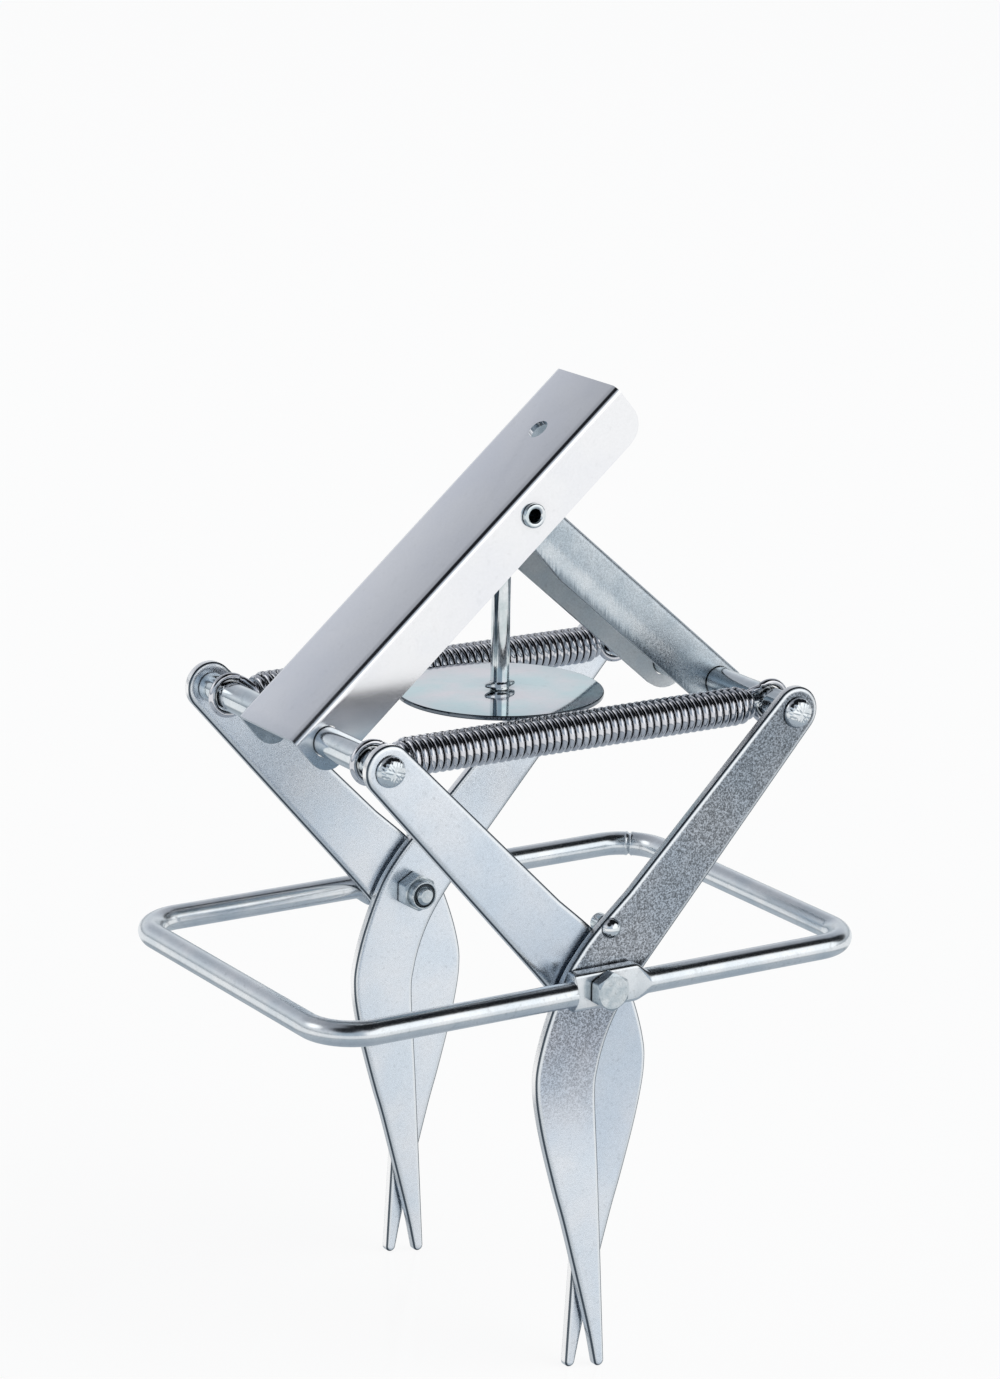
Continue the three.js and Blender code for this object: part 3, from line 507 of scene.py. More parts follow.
def makeGroundFrame(sizes):
    # section = four quarter arcs spread apart by the tab's flatness: radius, half thickness and
    # half height are each eased from the wire's to the tab's along the run
    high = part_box("ground_frame")[1]
    wire = sizes["wire"] / 2
    run = high[1] - wire
    end = high[0] - wire
    x, y, heading = frameRoute(sizes, run, end)
    onRun = heading == 0
    half = sizes["tabLength"] / 2
    rise = np.clip((x + half + sizes["step"]) / sizes["step"], 0, 1)
    fall = np.clip((half + sizes["slope"] - x) / sizes["slope"], 0, 1)
    flat = np.where(onRun, np.minimum(rise, fall), 0)
    flat = flat * flat * (3 - 2 * flat)
    # the ring's butt weld: a pinch between two low burrs on the far right corner
    away = heading - math.radians(sizes["weldHeading"])
    away = away * sizes["cornerRadius"] / sizes["weldWide"]
    weld = sizes["weldBurr"] * np.exp(-(np.abs(away) - sizes["burrShare"]) ** 2 * 3)
    weld -= sizes["weldPinch"] * np.exp(-away ** 2)
    weld = np.concatenate([weld, 0 * weld])[:, None]
    x, y = np.concatenate([x, -x]), np.concatenate([y, -y])
    heading = np.concatenate([heading, heading + tau / 2])
    flat = np.concatenate([flat, flat])[:, None]
    angle = ((np.arange(sizes["sides"]) + 0.5) / sizes["sides"] * tau)[None, :]
    radius = wire + (sizes["tabEdge"] - wire) * flat
    thick = wire + (sizes["tabThickness"] / 2 - wire) * flat
    tall = wire + (sizes["tabHeight"] / 2 - wire) * flat
    radius, thick, tall = radius + weld, thick + weld, tall + weld
    out = np.sign(np.cos(angle)) * (thick - radius) + radius * np.cos(angle)
    out = out - sizes["tabInset"] * flat
    up = np.sign(np.sin(angle)) * (tall - radius) + radius * np.sin(angle)
    points = np.stack([
        x[:, None] + out * np.sin(heading)[:, None],
        y[:, None] - out * np.cos(heading)[:, None], pivot.z + up], axis=-1)
    faces = gridFaces(len(x), sizes["sides"], True, True)
    piece = makePiece("wire_frame", points.reshape(-1, 3), faces, wireZinc, "frame",
                      ["ground_frame"], 50)
    drill(piece, [rod(sizes["boltHole"], -high[1] - wire, high[1] + wire, 0, pivot.z)])


makeGroundFrame(groundFrame)
print("ground frame made")


# Jaw plates: one outline, its edge rounded, its two faces ruled between the edges

jawPlate = {
    "armEnd": 8 * mm, "armRoot": 10.6 * mm, "rootDistance": 28 * mm, "bulge": 21.5 * mm,
    "length": 128.5 * mm, "tipRadius": 1.8 * mm, "tipOffset": 4.2 * mm, "shoulder": 17.5 * mm,
    "rollWide": 2.1 * mm, "rollDeep": 0.85 * mm, "rollTip": 1.1 * mm, "rollGrows": 30 * mm,
    "boltHole": 3.475 * mm, "tenonHole": 3.8 * mm, "stopHole": 2.6 * mm, "spare": 2 * mm,
    "bulgeTip": (194, 278), "hollowTip": (363, 279),
    "bulgeShoulder": [(0, 1), (-0.3, 0.6), (-0.56, 0.13)],
    "bulgeShares": [
        (-0.83, -0.092), (-0.98, -0.185), (-1, -0.245), (-0.95, -0.31), (-0.83, -0.4),
        (-0.63, -0.52), (-0.44, -0.625), (-0.04, -0.875)],
    "hollowShoulder": [(0.86, 0.2), (0.58, -0.22)],
    "hollowShares": [
        (0.35, -0.088), (0.18, -0.15), (0.07, -0.215), (0.03, -0.285), (0.11, -0.49), (0.2, -0.747)],
}


def smoothThrough(points, count):
    # uniform Catmull-Rom curve through the points, a cubic of the share f between each two,
    # resampled to even steps
    p = np.asarray(points, float)
    before = np.vstack([2 * p[0] - p[1], p, 2 * p[-1] - p[-2]])
    t = np.linspace(0, len(p) - 1, 40 * len(p))
    i = np.clip(t.astype(int), 0, len(p) - 2)
    f = (t - i)[:, None]
    a, b, c, d = (before[i + k] for k in range(4))
    curve = 0.5 * (2 * b + (c - a) * f + (2 * a - 5 * b + 4 * c - d) * f ** 2
                   + (3 * b - a - 3 * c + d) * f ** 3)
    run = np.concatenate([[0], np.cumsum(np.linalg.norm(np.diff(curve, axis=0), axis=1))])
    even = np.linspace(0, run[-1], count)
    return np.stack([np.interp(even, run, curve[:, k]) for k in (0, 1)], axis=-1)


def jawEdges(sizes):
    # the plate's two edges from the arm's round end to the tip, in X and Z from the pivot
    reach, rise = rightBar.x - pivot.x, rightBar.z - pivot.z
    armLength, direction = math.hypot(reach, rise), math.degrees(math.atan2(rise, reach))
    along = np.array([reach, rise]) / armLength
    across = np.array([-along[1], along[0]])
    widening = (sizes["armRoot"] - sizes["armEnd"]) / (armLength - sizes["rootDistance"])
    taper = math.degrees(math.asin(widening))
    tip = (sizes["tipOffset"], sizes["tipRadius"] - sizes["length"])
    edges = []
    for side, edge in ((1, "bulge"), (-1, "hollow")):
        endTurn = arc((reach, rise), sizes["armEnd"], direction, direction + side * (90 - taper), 24)
        root = along * sizes["rootDistance"] + side * across * sizes["armRoot"]
        straight = np.linspace(endTurn[-1], root, 24)[1:]
        tipArc = arc(tip, sizes["tipRadius"], *sizes[edge + "Tip"], 10)
        between = [(x * sizes["bulge"], z * sizes["shoulder"]) for x, z in sizes[edge + "Shoulder"]]
        between += [(x * sizes["bulge"], z * sizes["length"]) for x, z in sizes[edge + "Shares"]]
        blade = smoothThrough([root, *between, tipArc[0]], 160)[1:]
        edges.append(np.vstack([endTurn, straight, blade, tipArc[1:]]))
    edges[1][-1] = edges[0][-1]
    return edges


def inwardNormals(loop):
    # unit normals of a closed loop that runs anticlockwise, pointing into it
    step = np.roll(loop, -1, axis=0) - np.roll(loop, 1, axis=0)
    step /= np.linalg.norm(step, axis=1)[:, None]
    return np.stack([-step[:, 1], step[:, 0]], axis=-1)


def makeJaw(name, node, body, sign, stopNode, material):
    # edge profile carried round the outline, then ruled caps: the blanking rolls both faces down
    # to the sheared edge along a quarter ellipse, in by wide (1 - cos) and down by deep (1 - sin),
    # with the width growing up from the tip
    sizes = jawPlate
    bulge, hollow = jawEdges(sizes)
    loop = np.vstack([bulge, hollow[-2:0:-1]])
    inward = inwardNormals(loop)
    low, high = plateFaces[node]
    turnUp = np.radians(np.linspace(0, 90, 12))
    inset = 1 - np.cos(turnUp)
    grown = np.clip((loop[:, 1] + sizes["length"]) / sizes["rollGrows"], 0, 1)
    wide = sizes["rollTip"] + (sizes["rollWide"] - sizes["rollTip"]) * grown
    drop = sizes["rollDeep"] * (1 - np.sin(turnUp))
    inset = np.concatenate([inset[::-1], inset])
    height = np.concatenate([low + drop[::-1], high - drop])
    outline = loop[:, None, :] + inward[:, None, :] * (wide[:, None] * inset)[..., None]
    across = np.broadcast_to(height, outline.shape[:2])
    points = np.stack([sign * outline[..., 0], across, pivot.z + outline[..., 1]], axis=-1)
    rows, columns = outline.shape[:2]
    faces = gridFaces(rows, columns, closeRows=True)
    left = np.arange(1, len(bulge) - 1)
    right = rows - left
    rungs = np.stack([left[:-1], left[1:], right[1:], right[:-1]], axis=-1)
    ends = [[0, left[0], right[0]], [left[-1], len(bulge) - 1, right[-1]]]
    rungs = rungs.tolist() + ends
    caps = [[i * columns + c for i in rung] for c in (0, columns - 1) for rung in rungs]
    piece = makePiece(name, points.reshape(-1, 3), faces.tolist() + caps, material, body, [node], 40)
    under, over = low - sizes["spare"], high + sizes["spare"]
    holes = [
        rod(sizes["boltHole"], under, over, 0, pivot.z),
        rod(sizes["tenonHole"], under, over, sign * rightBar.x, rightBar.z)]
    if stopNode:
        holes.append(rod(sizes["stopHole"], under, over, middle(stopNode).x, middle(stopNode).z))
    drill(piece, holes)


makeJaw("front_right_blade", "front_right_jaw", "right_jaws", 1, "front_stop_stud", patchedZinc)
makeJaw("back_right_blade", "back_right_jaw", "right_jaws", 1, "back_stop_stud", evenZinc)
makeJaw("front_left_blade", "front_left_jaw", "left_jaws", -1, None, plateZinc)
makeJaw("back_left_blade", "back_left_jaw", "left_jaws", -1, None, evenZinc)
print("jaw plates made")


# Crossbars: turned bars with hammered domes, and the stakes that keep the springs in place

crossbar = {
    "bar": 4.75 * mm, "tenon": 3.5 * mm, "dome": 5 * mm, "domeHeight": 2.8 * mm, "play": 0.3 * mm,
    "round": 0.5 * mm, "blow": 0.26 * mm, "blowApart": 1.7 * mm, "stakeApart": 2.3 * mm,
    "stakeWide": 0.55 * mm, "stakeDeep": 0.7 * mm, "burr": 0.3 * mm, "burrShare": 1.5, "stakes": 4,
}


def dome(radius, height, foot, out, steps=10):
    # spherical cap profile from its rim to the axis, out is the way it points along Y
    ball = (radius ** 2 + height ** 2) / (2 * height)
    half = math.asin(min(1, radius / ball))
    angle = half * (1 - np.arange(steps + 1) / steps)
    rise = height - ball * (1 - np.cos(angle))
    return np.stack([ball * np.sin(angle), foot + out * rise], axis=-1)


def beatenDome(radius, height, foot, out, steps=14):
    # rivet head from its rim to the axis: height (1 - u^4)^0.7 over the share u of the radius
    u = np.sin(np.linspace(tau / 4, 0, steps + 1))
    return np.stack([radius * u, foot + out * height * np.clip(1 - u ** 4, 0, 1) ** 0.7], axis=-1)


def hammered(points, front, back, radius, deep, apart):
    # hammer marks on the domes beyond two planes: each point sinks by deep (1 + w) / 2, where w is
    # a product of two slanted waves plus half of a third; none at the rim
    x, y, z = points.T / apart * tau
    waves = np.sin(x + 0.4 * z) * np.sin(0.9 * z - 0.5 * x + 1) + 0.5 * np.sin(1.7 * x + 1.3 * z + 2)
    out = np.sign(points[:, 1])
    rim = np.clip(1 - np.hypot(points[:, 0], points[:, 2]) / radius, 0, 0.25) / 0.25
    onDome = (points[:, 1] < front) | (points[:, 1] > back)
    points[:, 1] -= np.where(onDome, out * deep * rim * (1 + waves) / 2, 0)


def makeCrossbar(name, node, body, place, frontPlate, backPlate):
    # profile from dome to dome; on both sides of each spring's hook the bar is staked: dents of
    # radius -deep * lobes, with a raised burr beside each; the domes carry hammer marks
    s = crossbar
    frontOut, frontIn = plateFaces[frontPlate]
    backIn, backOut = plateFaces[backPlate]
    frontIn, backIn = frontIn + s["play"], backIn - s["play"]
    front = beatenDome(s["dome"], s["domeHeight"], frontOut - s["play"], -1)[::-1]
    back = beatenDome(s["dome"], s["domeHeight"], backOut + s["play"], 1)
    hooks = [middle("front_spring").y, middle("back_spring").y]
    stakes = [h + side * s["stakeApart"] for h in hooks for side in (-1, 1)]
    fine = np.unique(np.concatenate(
        [np.linspace(y - 2 * s["stakeWide"], y + 2 * s["stakeWide"], 17) for y in stakes]
        + [np.linspace(frontIn + s["round"], backIn - s["round"], 9)]))
    bar = np.stack([np.full(fine.size, s["bar"]), fine], -1)
    ends = [roundedProfile([(s["tenon"], frontOut - s["play"]), (s["tenon"], frontIn),
                            (s["bar"], frontIn, s["round"]), bar[0]]),
            roundedProfile([bar[-1], (s["bar"], backIn, s["round"]), (s["tenon"], backIn),
                            (s["tenon"], backOut + s["play"])])]
    profile = np.vstack([front, ends[0], bar[1:-1], ends[1], back])
    points, faces = turn(profile, 96)
    angle = np.arctan2(points[:, 2], points[:, 0])
    radius = np.hypot(points[:, 0], points[:, 2])
    change = np.zeros(len(points))
    for k, y in enumerate(stakes):
        away = (points[:, 1] - y) / s["stakeWide"]
        pinch = np.clip(np.cos(s["stakes"] * angle + 1.3 * k), 0, 1) ** 3
        change -= s["stakeDeep"] * pinch * np.exp(-away ** 2)
        change += s["burr"] * pinch * np.exp(-(np.abs(away) - s["burrShare"]) ** 2 * 6)
    scale = 1 + np.where(radius > s["tenon"] * 0.2, change / np.maximum(radius, 1e-6), 0)
    points[:, 0] *= scale
    points[:, 2] *= scale
    hammered(points, frontOut - s["play"], backOut + s["play"], s["dome"], s["blow"], s["blowApart"])
    makePiece(name, placed(points, (place.x, 0, place.z)), faces, barZinc, body, [node], 50)


makeCrossbar("right_bar", "right_crossbar", "right_jaws", rightBar,
             "front_right_jaw", "back_right_jaw")
makeCrossbar("left_bar", "left_crossbar", "left_jaws", leftBar, "front_left_jaw", "back_left_jaw")
print("crossbars made")


# Springs: a wire carried along a coil that narrows to a ring over each crossbar

spring = {
    "wire": 1.15 * mm, "coil": 5 * mm, "pitch": 2.63 * mm, "neck": 3.6 * mm, "neckTurns": 1.75,
    "neckLength": 1.8 * mm, "play": 0.3 * mm, "hookStart": 60, "hookEnd": 330, "perTurn": 40,
    "sides": 12,
}


def springRoute(s):
    # helix x = pitch * turn, radius eased in over the last turns, then rings in the XZ plane
    reach = rightBar.x
    hookRadius = crossbar["bar"] + s["play"] + s["wire"]
    coilHalf = reach - hookRadius - s["neckLength"]
    turns = round(2 * coilHalf / s["pitch"] - 0.5) + 0.5
    wound = np.linspace(0, turns, round(turns * s["perTurn"]) + 1)
    ease = np.clip(np.minimum(wound, turns - wound) / s["neckTurns"], 0, 1)
    radius = s["neck"] + (s["coil"] - s["neck"]) * ease * ease * (3 - 2 * ease)
    angle = (wound - turns) * tau
    along = coilHalf * (2 * wound / turns - 1)
    coil = np.stack([along, radius * np.cos(angle), radius * np.sin(angle)], -1)
    parts = []
    for side in (-1, 1):
        b = np.radians(np.linspace(s["hookStart"], s["hookEnd"], 48))
        ring = np.stack([side * (reach - hookRadius * np.cos(b)), 0 * b, hookRadius * np.sin(b)], -1)
        tail = ring[-1] + np.array([side * math.sin(b[-1]), 0, math.cos(b[-1])]) * 2 * s["wire"]
        end, before = (coil[-1], coil[-2]) if side > 0 else (coil[0], coil[1])
        leave = (end - before) / np.linalg.norm(end - before)
        arrive = (ring[1] - ring[0]) / np.linalg.norm(ring[1] - ring[0])
        pull = np.linalg.norm(ring[0] - end) / 3
        t = np.linspace(0, 1, 10)[1:-1, None]
        neck = ((1 - t) ** 3 * end + 3 * t * (1 - t) ** 2 * (end + leave * pull)
                + 3 * t ** 2 * (1 - t) * (ring[0] - arrive * pull) + t ** 3 * ring[0])
        parts.append(np.vstack([neck, ring, tail]))
    return np.vstack([parts[0][::-1], coil, parts[1]])


def makeSpring(name, node):
    # round section, radius times cos and sin of the angle, on two spokes square to the wire
    s = spring
    route = springRoute(s)
    tangent = np.gradient(route, axis=0)
    tangent /= np.linalg.norm(tangent, axis=1)[:, None]
    spoke = np.stack([0 * route[:, 0], route[:, 1], route[:, 2]], -1)
    inRing = np.abs(route[:, 1]) < 1e-9
    spoke[inRing] = (0, 1, 0)
    spoke -= (spoke * tangent).sum(1)[:, None] * tangent
    spoke /= np.linalg.norm(spoke, axis=1)[:, None]
    third = np.cross(tangent, spoke)
    angle = (np.arange(s["sides"]) / s["sides"] * tau)[None, :, None]
    ring = spoke[:, None, :] * np.cos(angle) + third[:, None, :] * np.sin(angle)
    points = route[:, None, :] + s["wire"] * ring
    rows = len(route)
    faces = gridFaces(rows, s["sides"], closeColumns=True).tolist()
    around = range(s["sides"])
    faces += [list(around)[::-1], [(rows - 1) * s["sides"] + i for i in around]]
    centre = middle(node)
    place = (0, centre.y, rightBar.z)
    piece = makePiece(name, placed(points.reshape(-1, 3), place), faces, springZinc, sharp=60,
                      merge=False)
    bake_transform(piece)
    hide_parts(node)


makeSpring("front_coil_spring", "front_spring")
makeSpring("back_coil_spring", "back_spring")
print("springs made")


# Levers: a U section whose loop of points runs from one end outline to the other

def bentLoop(width, web, drop, wall, bend):
    # outer and inner skins of the U, paired point for point, as rows of (across, height)
    half = width / 2
    down = np.linspace(-drop, web - bend, 30)
    skins = []
    for inset in (0, wall):
        corner = np.radians(np.linspace(0, 90, 9))[1:]
        radius = bend - inset
        right = np.stack([np.full(down.size, half - inset), down], -1)
        bent = np.array([half - bend, web - bend]) + radius * np.stack(
            [np.cos(corner), np.sin(corner)], -1)
        side = np.vstack([right, bent])
        skins.append(np.vstack([side, side[::-1] * (-1, 1)]))
    return skins


def makeLever(name, node, body, sizes, start, finish, axes, origin, cutters, material, lining):
    # points slide from the start outline to the finish outline, both functions of the height; the
    # inner skin, clear of the wall's middle on all three sides, takes the lining
    outer, inner = bentLoop(*(sizes[key] for key in ("width", "web", "drop", "wall", "bend")))
    loop = np.vstack([outer, inner[::-1]])
    v = np.linspace(0, 1, 3)[:, None]
    first, last = start(loop[:, 1]), finish(loop[:, 1])
    along = first + v * (last - first)
    points = np.stack(np.broadcast_arrays(along, loop[:, 0], loop[:, 1]), -1)
    rows, columns = along.shape
    faces = gridFaces(rows, columns, closeColumns=True).tolist()
    pairs = np.arange(len(outer) - 1)
    for row in (0, rows - 1):
        caps = np.stack([pairs, pairs + 1, columns - 2 - pairs, columns - 1 - pairs], -1)
        faces += (caps + row * columns).tolist()
    piece = makePiece(name, placed(points.reshape(-1, 3), origin, axes), faces, material, body,
                      [node], 30)
    drill(piece, [(placed(p, origin, axes), f) for p, f in cutters])
    skin = 0.7 * sizes["wall"]
    linePiece(piece, lining, origin, axes, lambda along, across, up: (
        (np.abs(across) < sizes["width"] / 2 - skin) & (up < sizes["web"] - skin)))
    edge = piece.modifiers.new("edge", "BEVEL")
    edge.width = sizes["edge"]
    edge.segments = 2
    edge.limit_method = "ANGLE"
    edge.angle_limit = math.radians(50)


def block(low, high):
    # a plain box cutter: every mix of the low and high values
    x, y, z = (np.array([low[k], high[k]]) for k in range(3))
    points = np.stack(np.meshgrid(x, y, z, indexing="ij"), -1).reshape(-1, 3)
    faces = [[0, 1, 3, 2], [4, 6, 7, 5], [0, 4, 5, 1], [2, 3, 7, 6], [0, 2, 6, 4], [1, 5, 7, 3]]
    return points, np.array(faces)


leverLength = math.hypot(pinPlace.x - leftBar.x, pinPlace.z - leftBar.z)
outerLever = {
    "width": 35.5 * mm, "web": 9 * mm, "drop": 9 * mm, "wall": 1.6 * mm, "bend": 2.8 * mm,
    "heel": 7.9 * mm, "heelCorner": 7 * mm, "pedal": 47.3 * mm, "pedalCorner": 8 * mm,
    "barHole": 5.05 * mm, "pinHole": 3.3 * mm, "hangingHole": 3.5 * mm, "hangingPlace": 24.3 * mm,
    "edge": 0.3 * mm,
}
innerLever = {
    "width": 31.7 * mm, "web": 7.1 * mm, "drop": 9.2 * mm, "wall": 1.6 * mm, "bend": 2.2 * mm,
    "ear": 5.9 * mm, "earBack": 0.5 * mm, "taper": 24 * mm, "webBack": 8 * mm, "barHole": 5.05 * mm,
    "pinHole": 3.3 * mm, "slotBack": 3.3 * mm, "slotOn": 1 * mm, "slotUp": 1.5 * mm,
    "edge": 0.25 * mm,
}


def makeOuterLever():
    # both ends are quarter rounds below: the root of radius^2 less height^2 from their centre
    s = outerLever
    axes = [(math.cos(rise), 0, math.sin(rise)), (0, 1, 0), (-math.sin(rise), 0, math.cos(rise))]
    far = leverLength + s["pedal"]
    spare = s["width"]

    def corner(n, radius):
        # reach of a quarter round at the height n, full from its centre upwards
        down = np.clip(n - radius + s["drop"], -radius, 0)
        return np.sqrt(np.clip(radius ** 2 - down ** 2, 0, None))

    hole = s["hangingHole"]
    up, flat = turn([(0, 0), (hole, 0), (hole, 2 * s["web"]), (0, 2 * s["web"])], 48)
    hanging = placed(up[:, [0, 2, 1]], (leverLength + s["hangingPlace"], 0, 0)), flat
    makeLever("pressed_outer_lever", "outer_lever", "outer_lever", s,
              lambda n: s["heelCorner"] - s["heel"] - corner(n, s["heelCorner"]),
              lambda n: far - s["pedalCorner"] + corner(n, s["pedalCorner"]),
              axes, (leftBar.x, 0, leftBar.z),
              [rod(s["barHole"], -spare, spare), rod(s["pinHole"], -spare, spare, leverLength),
               hanging],
              pressedZinc, pedalLining)


def slotCutter(s, spare):
    # four quarter arcs round the slot's corners, swept across the lever
    on, back, top = leverLength + s["slotOn"], leverLength - s["slotBack"], s["slotUp"]
    corners = [(on, 0, -90), (on, top, 0), (back, top, 90), (back, 0, 180)]
    ring = np.vstack([arc((x, z), s["pinHole"], a, a + 90, 8) for x, z, a in corners])
    count = len(ring)
    points = np.concatenate([
        np.stack([ring[:, 0], np.full(count, y), ring[:, 1]], -1) for y in (-spare, spare)])
    faces = gridFaces(2, count, closeColumns=True).tolist()
    return points, faces + [list(range(count)), list(range(count, 2 * count))]


def makeInnerLever():
    # round at the bar, the root of drop^2 less height^2; it tapers to ears about a slotted hole
    s = innerLever
    axes = [(-math.cos(rise), 0, math.sin(rise)), (0, 1, 0), (math.sin(rise), 0, math.cos(rise))]
    ear = leverLength - s["earBack"]
    spare = outerLever["width"]

    def earEnd(n):
        # straight taper below the ear, round about the pin, straight back to the web above
        nose = ear + np.sqrt(np.clip(s["ear"] ** 2 - n ** 2, 0, None))
        low = np.interp(n, (-s["drop"], -s["ear"]), (leverLength - s["taper"], ear))
        high = np.interp(n, (s["ear"], s["web"]), (ear, leverLength - s["webBack"]))
        return np.where(n < -s["ear"], low, np.where(n > s["ear"], high, nose))

    inside = s["width"] / 2 - s["wall"]
    makeLever("pressed_inner_lever", "inner_lever", "inner_lever", s,
              lambda n: -np.sqrt(np.clip(s["drop"] ** 2 - n ** 2, 0, None)), earEnd,
              axes, (rightBar.x, 0, rightBar.z),
              [rod(s["barHole"], -spare, spare), slotCutter(s, spare),
               block((leverLength - s["webBack"], -inside, -2 * s["drop"]),
                     (leverLength + s["webBack"], inside, 2 * s["drop"]))],
              grainyZinc, leverLining)


makeOuterLever()
makeInnerLever()
print("levers made")


# Bolts and nuts: hexagons whose corners are turned down to a cone, threads as a helical ridge

hexPieces = {
    "flats": 11.1 * mm, "cornerPower": 26, "faceShare": 0.94, "chamfer": 0.55, "footEase": 0.03,
    "flatShare": 0.9, "around": 120, "headHeight": 4 * mm, "headHole": 0.02 * mm,
    "shank": 3.175 * mm, "pitch": 1.27 * mm, "thread": 0.4 * mm, "threaded": 12 * mm,
    "tipLength": 0.9 * mm, "tipTaper": 0.8 * mm, "shankRows": 260, "shankSides": 48,
    "nutHeight": 5 * mm, "nutPlay": 0.1 * mm, "collar": 4.8 * mm, "collarRound": 0.9 * mm,
    "collarFoot": 1 * mm, "lip": 0.4 * mm, "lipRound": 0.2 * mm, "lipDeep": 0.6 * mm,
    "insert": 0.55 * mm, "insertPlay": 0.02 * mm, "insertDeep": 0.35 * mm,
}


def hexBody(foot, top, hole):
    # rings of the hexagon: radius from a high power mean of its three flats, top cut by a cone;
    # rows run hole, foot, shoulder, face, hole and close on themselves
    s = hexPieces
    angle = np.arange(s["around"]) / s["around"] * tau
    flats = np.stack([np.abs(np.cos(angle - k * tau / 6)) for k in range(3)])
    hexRadius = s["flats"] / 2 / (flats ** s["cornerPower"]).sum(0) ** (1 / s["cornerPower"])
    face = s["flats"] / 2 * s["faceShare"]
    out = math.copysign(1, top - foot)
    shoulder = top - out * np.clip(hexRadius - face, 0, None) * s["chamfer"]
    rows = [(hole, foot), (hexRadius * (1 - s["footEase"]), foot),
            (hexRadius, foot + out * s["footEase"] * hexRadius), (hexRadius, shoulder),
            (np.minimum(hexRadius, face), top), (face * s["flatShare"], top), (hole, top)]
    points = [np.stack(np.broadcast_arrays(r * np.cos(angle), y, r * np.sin(angle)), -1)
              for r, y in rows]
    return np.concatenate(points), gridFaces(len(rows), angle.size, True, True)


def threadedShank(seat, tip, sign):
    # radius less the thread's depth times its distance from the crest, which runs round as a
    # helix; it fades in where the thread starts and tapers at the tip
    s = hexPieces
    rows, sides = s["shankRows"], s["shankSides"]
    y = np.linspace(0, 1, rows)[:, None] * (tip - seat) + seat
    angle = np.arange(sides)[None, :] / sides * tau
    fromTip = np.abs(tip - y)
    phase = (y * sign / s["pitch"] + angle / tau) % 1
    valley = np.abs(2 * phase - 1)
    cutIn = np.clip((s["threaded"] - fromTip) / s["pitch"], 0, 1)
    taper = 1 - np.clip(fromTip / s["tipLength"], 0, 1)
    radius = s["shank"] - s["thread"] * cutIn * valley - s["tipTaper"] * taper
    points = np.stack(np.broadcast_arrays(radius * np.cos(angle), y, radius * np.sin(angle)), -1)
    faces = gridFaces(rows, sides, closeColumns=True).tolist()
    faces += [list(range(sides)), [(rows - 1) * sides + k for k in range(sides)]]
    return points.reshape(-1, 3), faces


def joined(pieces):
    # several (points, faces) as one, with each one's faces counted on from the points before
    points, faces, before = [], [], 0
    for somePoints, someFaces in pieces:
        points.append(somePoints)
        someRows = someFaces if isinstance(someFaces, list) else someFaces.tolist()
        faces += [[k + before for k in row] for row in someRows]
        before += len(somePoints)
    return np.vstack(points), faces


def makeBolt(end, sign):
    # head outside the wire frame, shank towards the middle of the trap
    s = hexPieces
    low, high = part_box(end + "_bolt")
    headTop, tip = (low.y, high.y) if sign > 0 else (high.y, low.y)
    seat = headTop + sign * s["headHeight"]
    points, faces = joined([hexBody(seat, headTop, s["headHole"]), threadedShank(seat, tip, sign)])
    makePiece(end + "_hex_bolt", placed(points, pivot), faces, boltZinc, "pivots",
              [end + "_bolt"], 25)


def makeNut(end, sign):
    # hexagon, then a turned collar that is crimped over the insert's ring
    s = hexPieces
    low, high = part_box(end + "_nut")
    foot, top = (low.y, high.y) if sign > 0 else (high.y, low.y)
    hexTop = foot + sign * s["nutHeight"]
    collarFoot = hexTop - sign * s["collarFoot"]
    bore, thread = s["shank"] + s["insert"], s["shank"] + s["insertPlay"]
    insertTop = top - sign * s["insertDeep"]
    collar = closedTurn([
        (bore, collarFoot), (s["collar"], collarFoot), (s["collar"], top, s["collarRound"]),
        (bore + s["lip"], top, s["lipRound"]), (bore, top - sign * s["lipDeep"])], 72, 5)
    points, faces = joined([hexBody(foot, hexTop, s["shank"] + s["nutPlay"]), collar])
    makePiece(end + "_lock_nut", placed(points, pivot), faces, boltZinc, "pivots",
              [end + "_nut"], 25)
    band, bandFaces = closedTurn([
        (thread, hexTop), (bore, hexTop), (bore, insertTop, s["lipRound"]), (thread, insertTop)],
        48, 5)
    makePiece(end + "_nut_insert", placed(band, pivot), bandFaces, nylon, "pivots", [], 30)


# the back ones are the front ones turned half way round
for end, sign in (("front", 1), ("back", -1)):
    makeBolt(end, sign)
    makeNut(end, sign)


# Stop studs on the right plates, each with its stop beside the crossed left plate

stopStud = {
    "head": 3.3 * mm, "headHeight": 2.5 * mm, "waist": 2.3 * mm, "stop": 3 * mm, "play": 0.3 * mm,
    "footRound": 0.2 * mm, "endRound": 0.4 * mm,
}


def makeStud(name, node, plate):
    # turned profile: head in front of the plate, waist through it, stop behind it
    s = stopStud
    front, back = plateFaces[plate]
    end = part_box(node)[1][1]
    foot = front - s["play"]
    cap = dome(s["head"], s["headHeight"], foot, -1)[::-1]
    profile = np.vstack([cap, roundedProfile([
        (s["waist"], foot), (s["waist"], back), (s["stop"], back + s["play"], s["footRound"]),
        (s["stop"], end, s["endRound"]), (0, end)])])
    points, faces = turn(profile, 48)
    place = middle(node)
    makePiece(name, placed(points, (place.x, 0, place.z)), faces, mirrorZinc, "right_jaws", [node], 40)


makeStud("front_stop", "front_stop_stud", "front_right_jaw")
makeStud("back_stop", "back_stop_stud", "back_right_jaw")
print("fasteners made")


# Hinge pin, sleeve, stem and pan

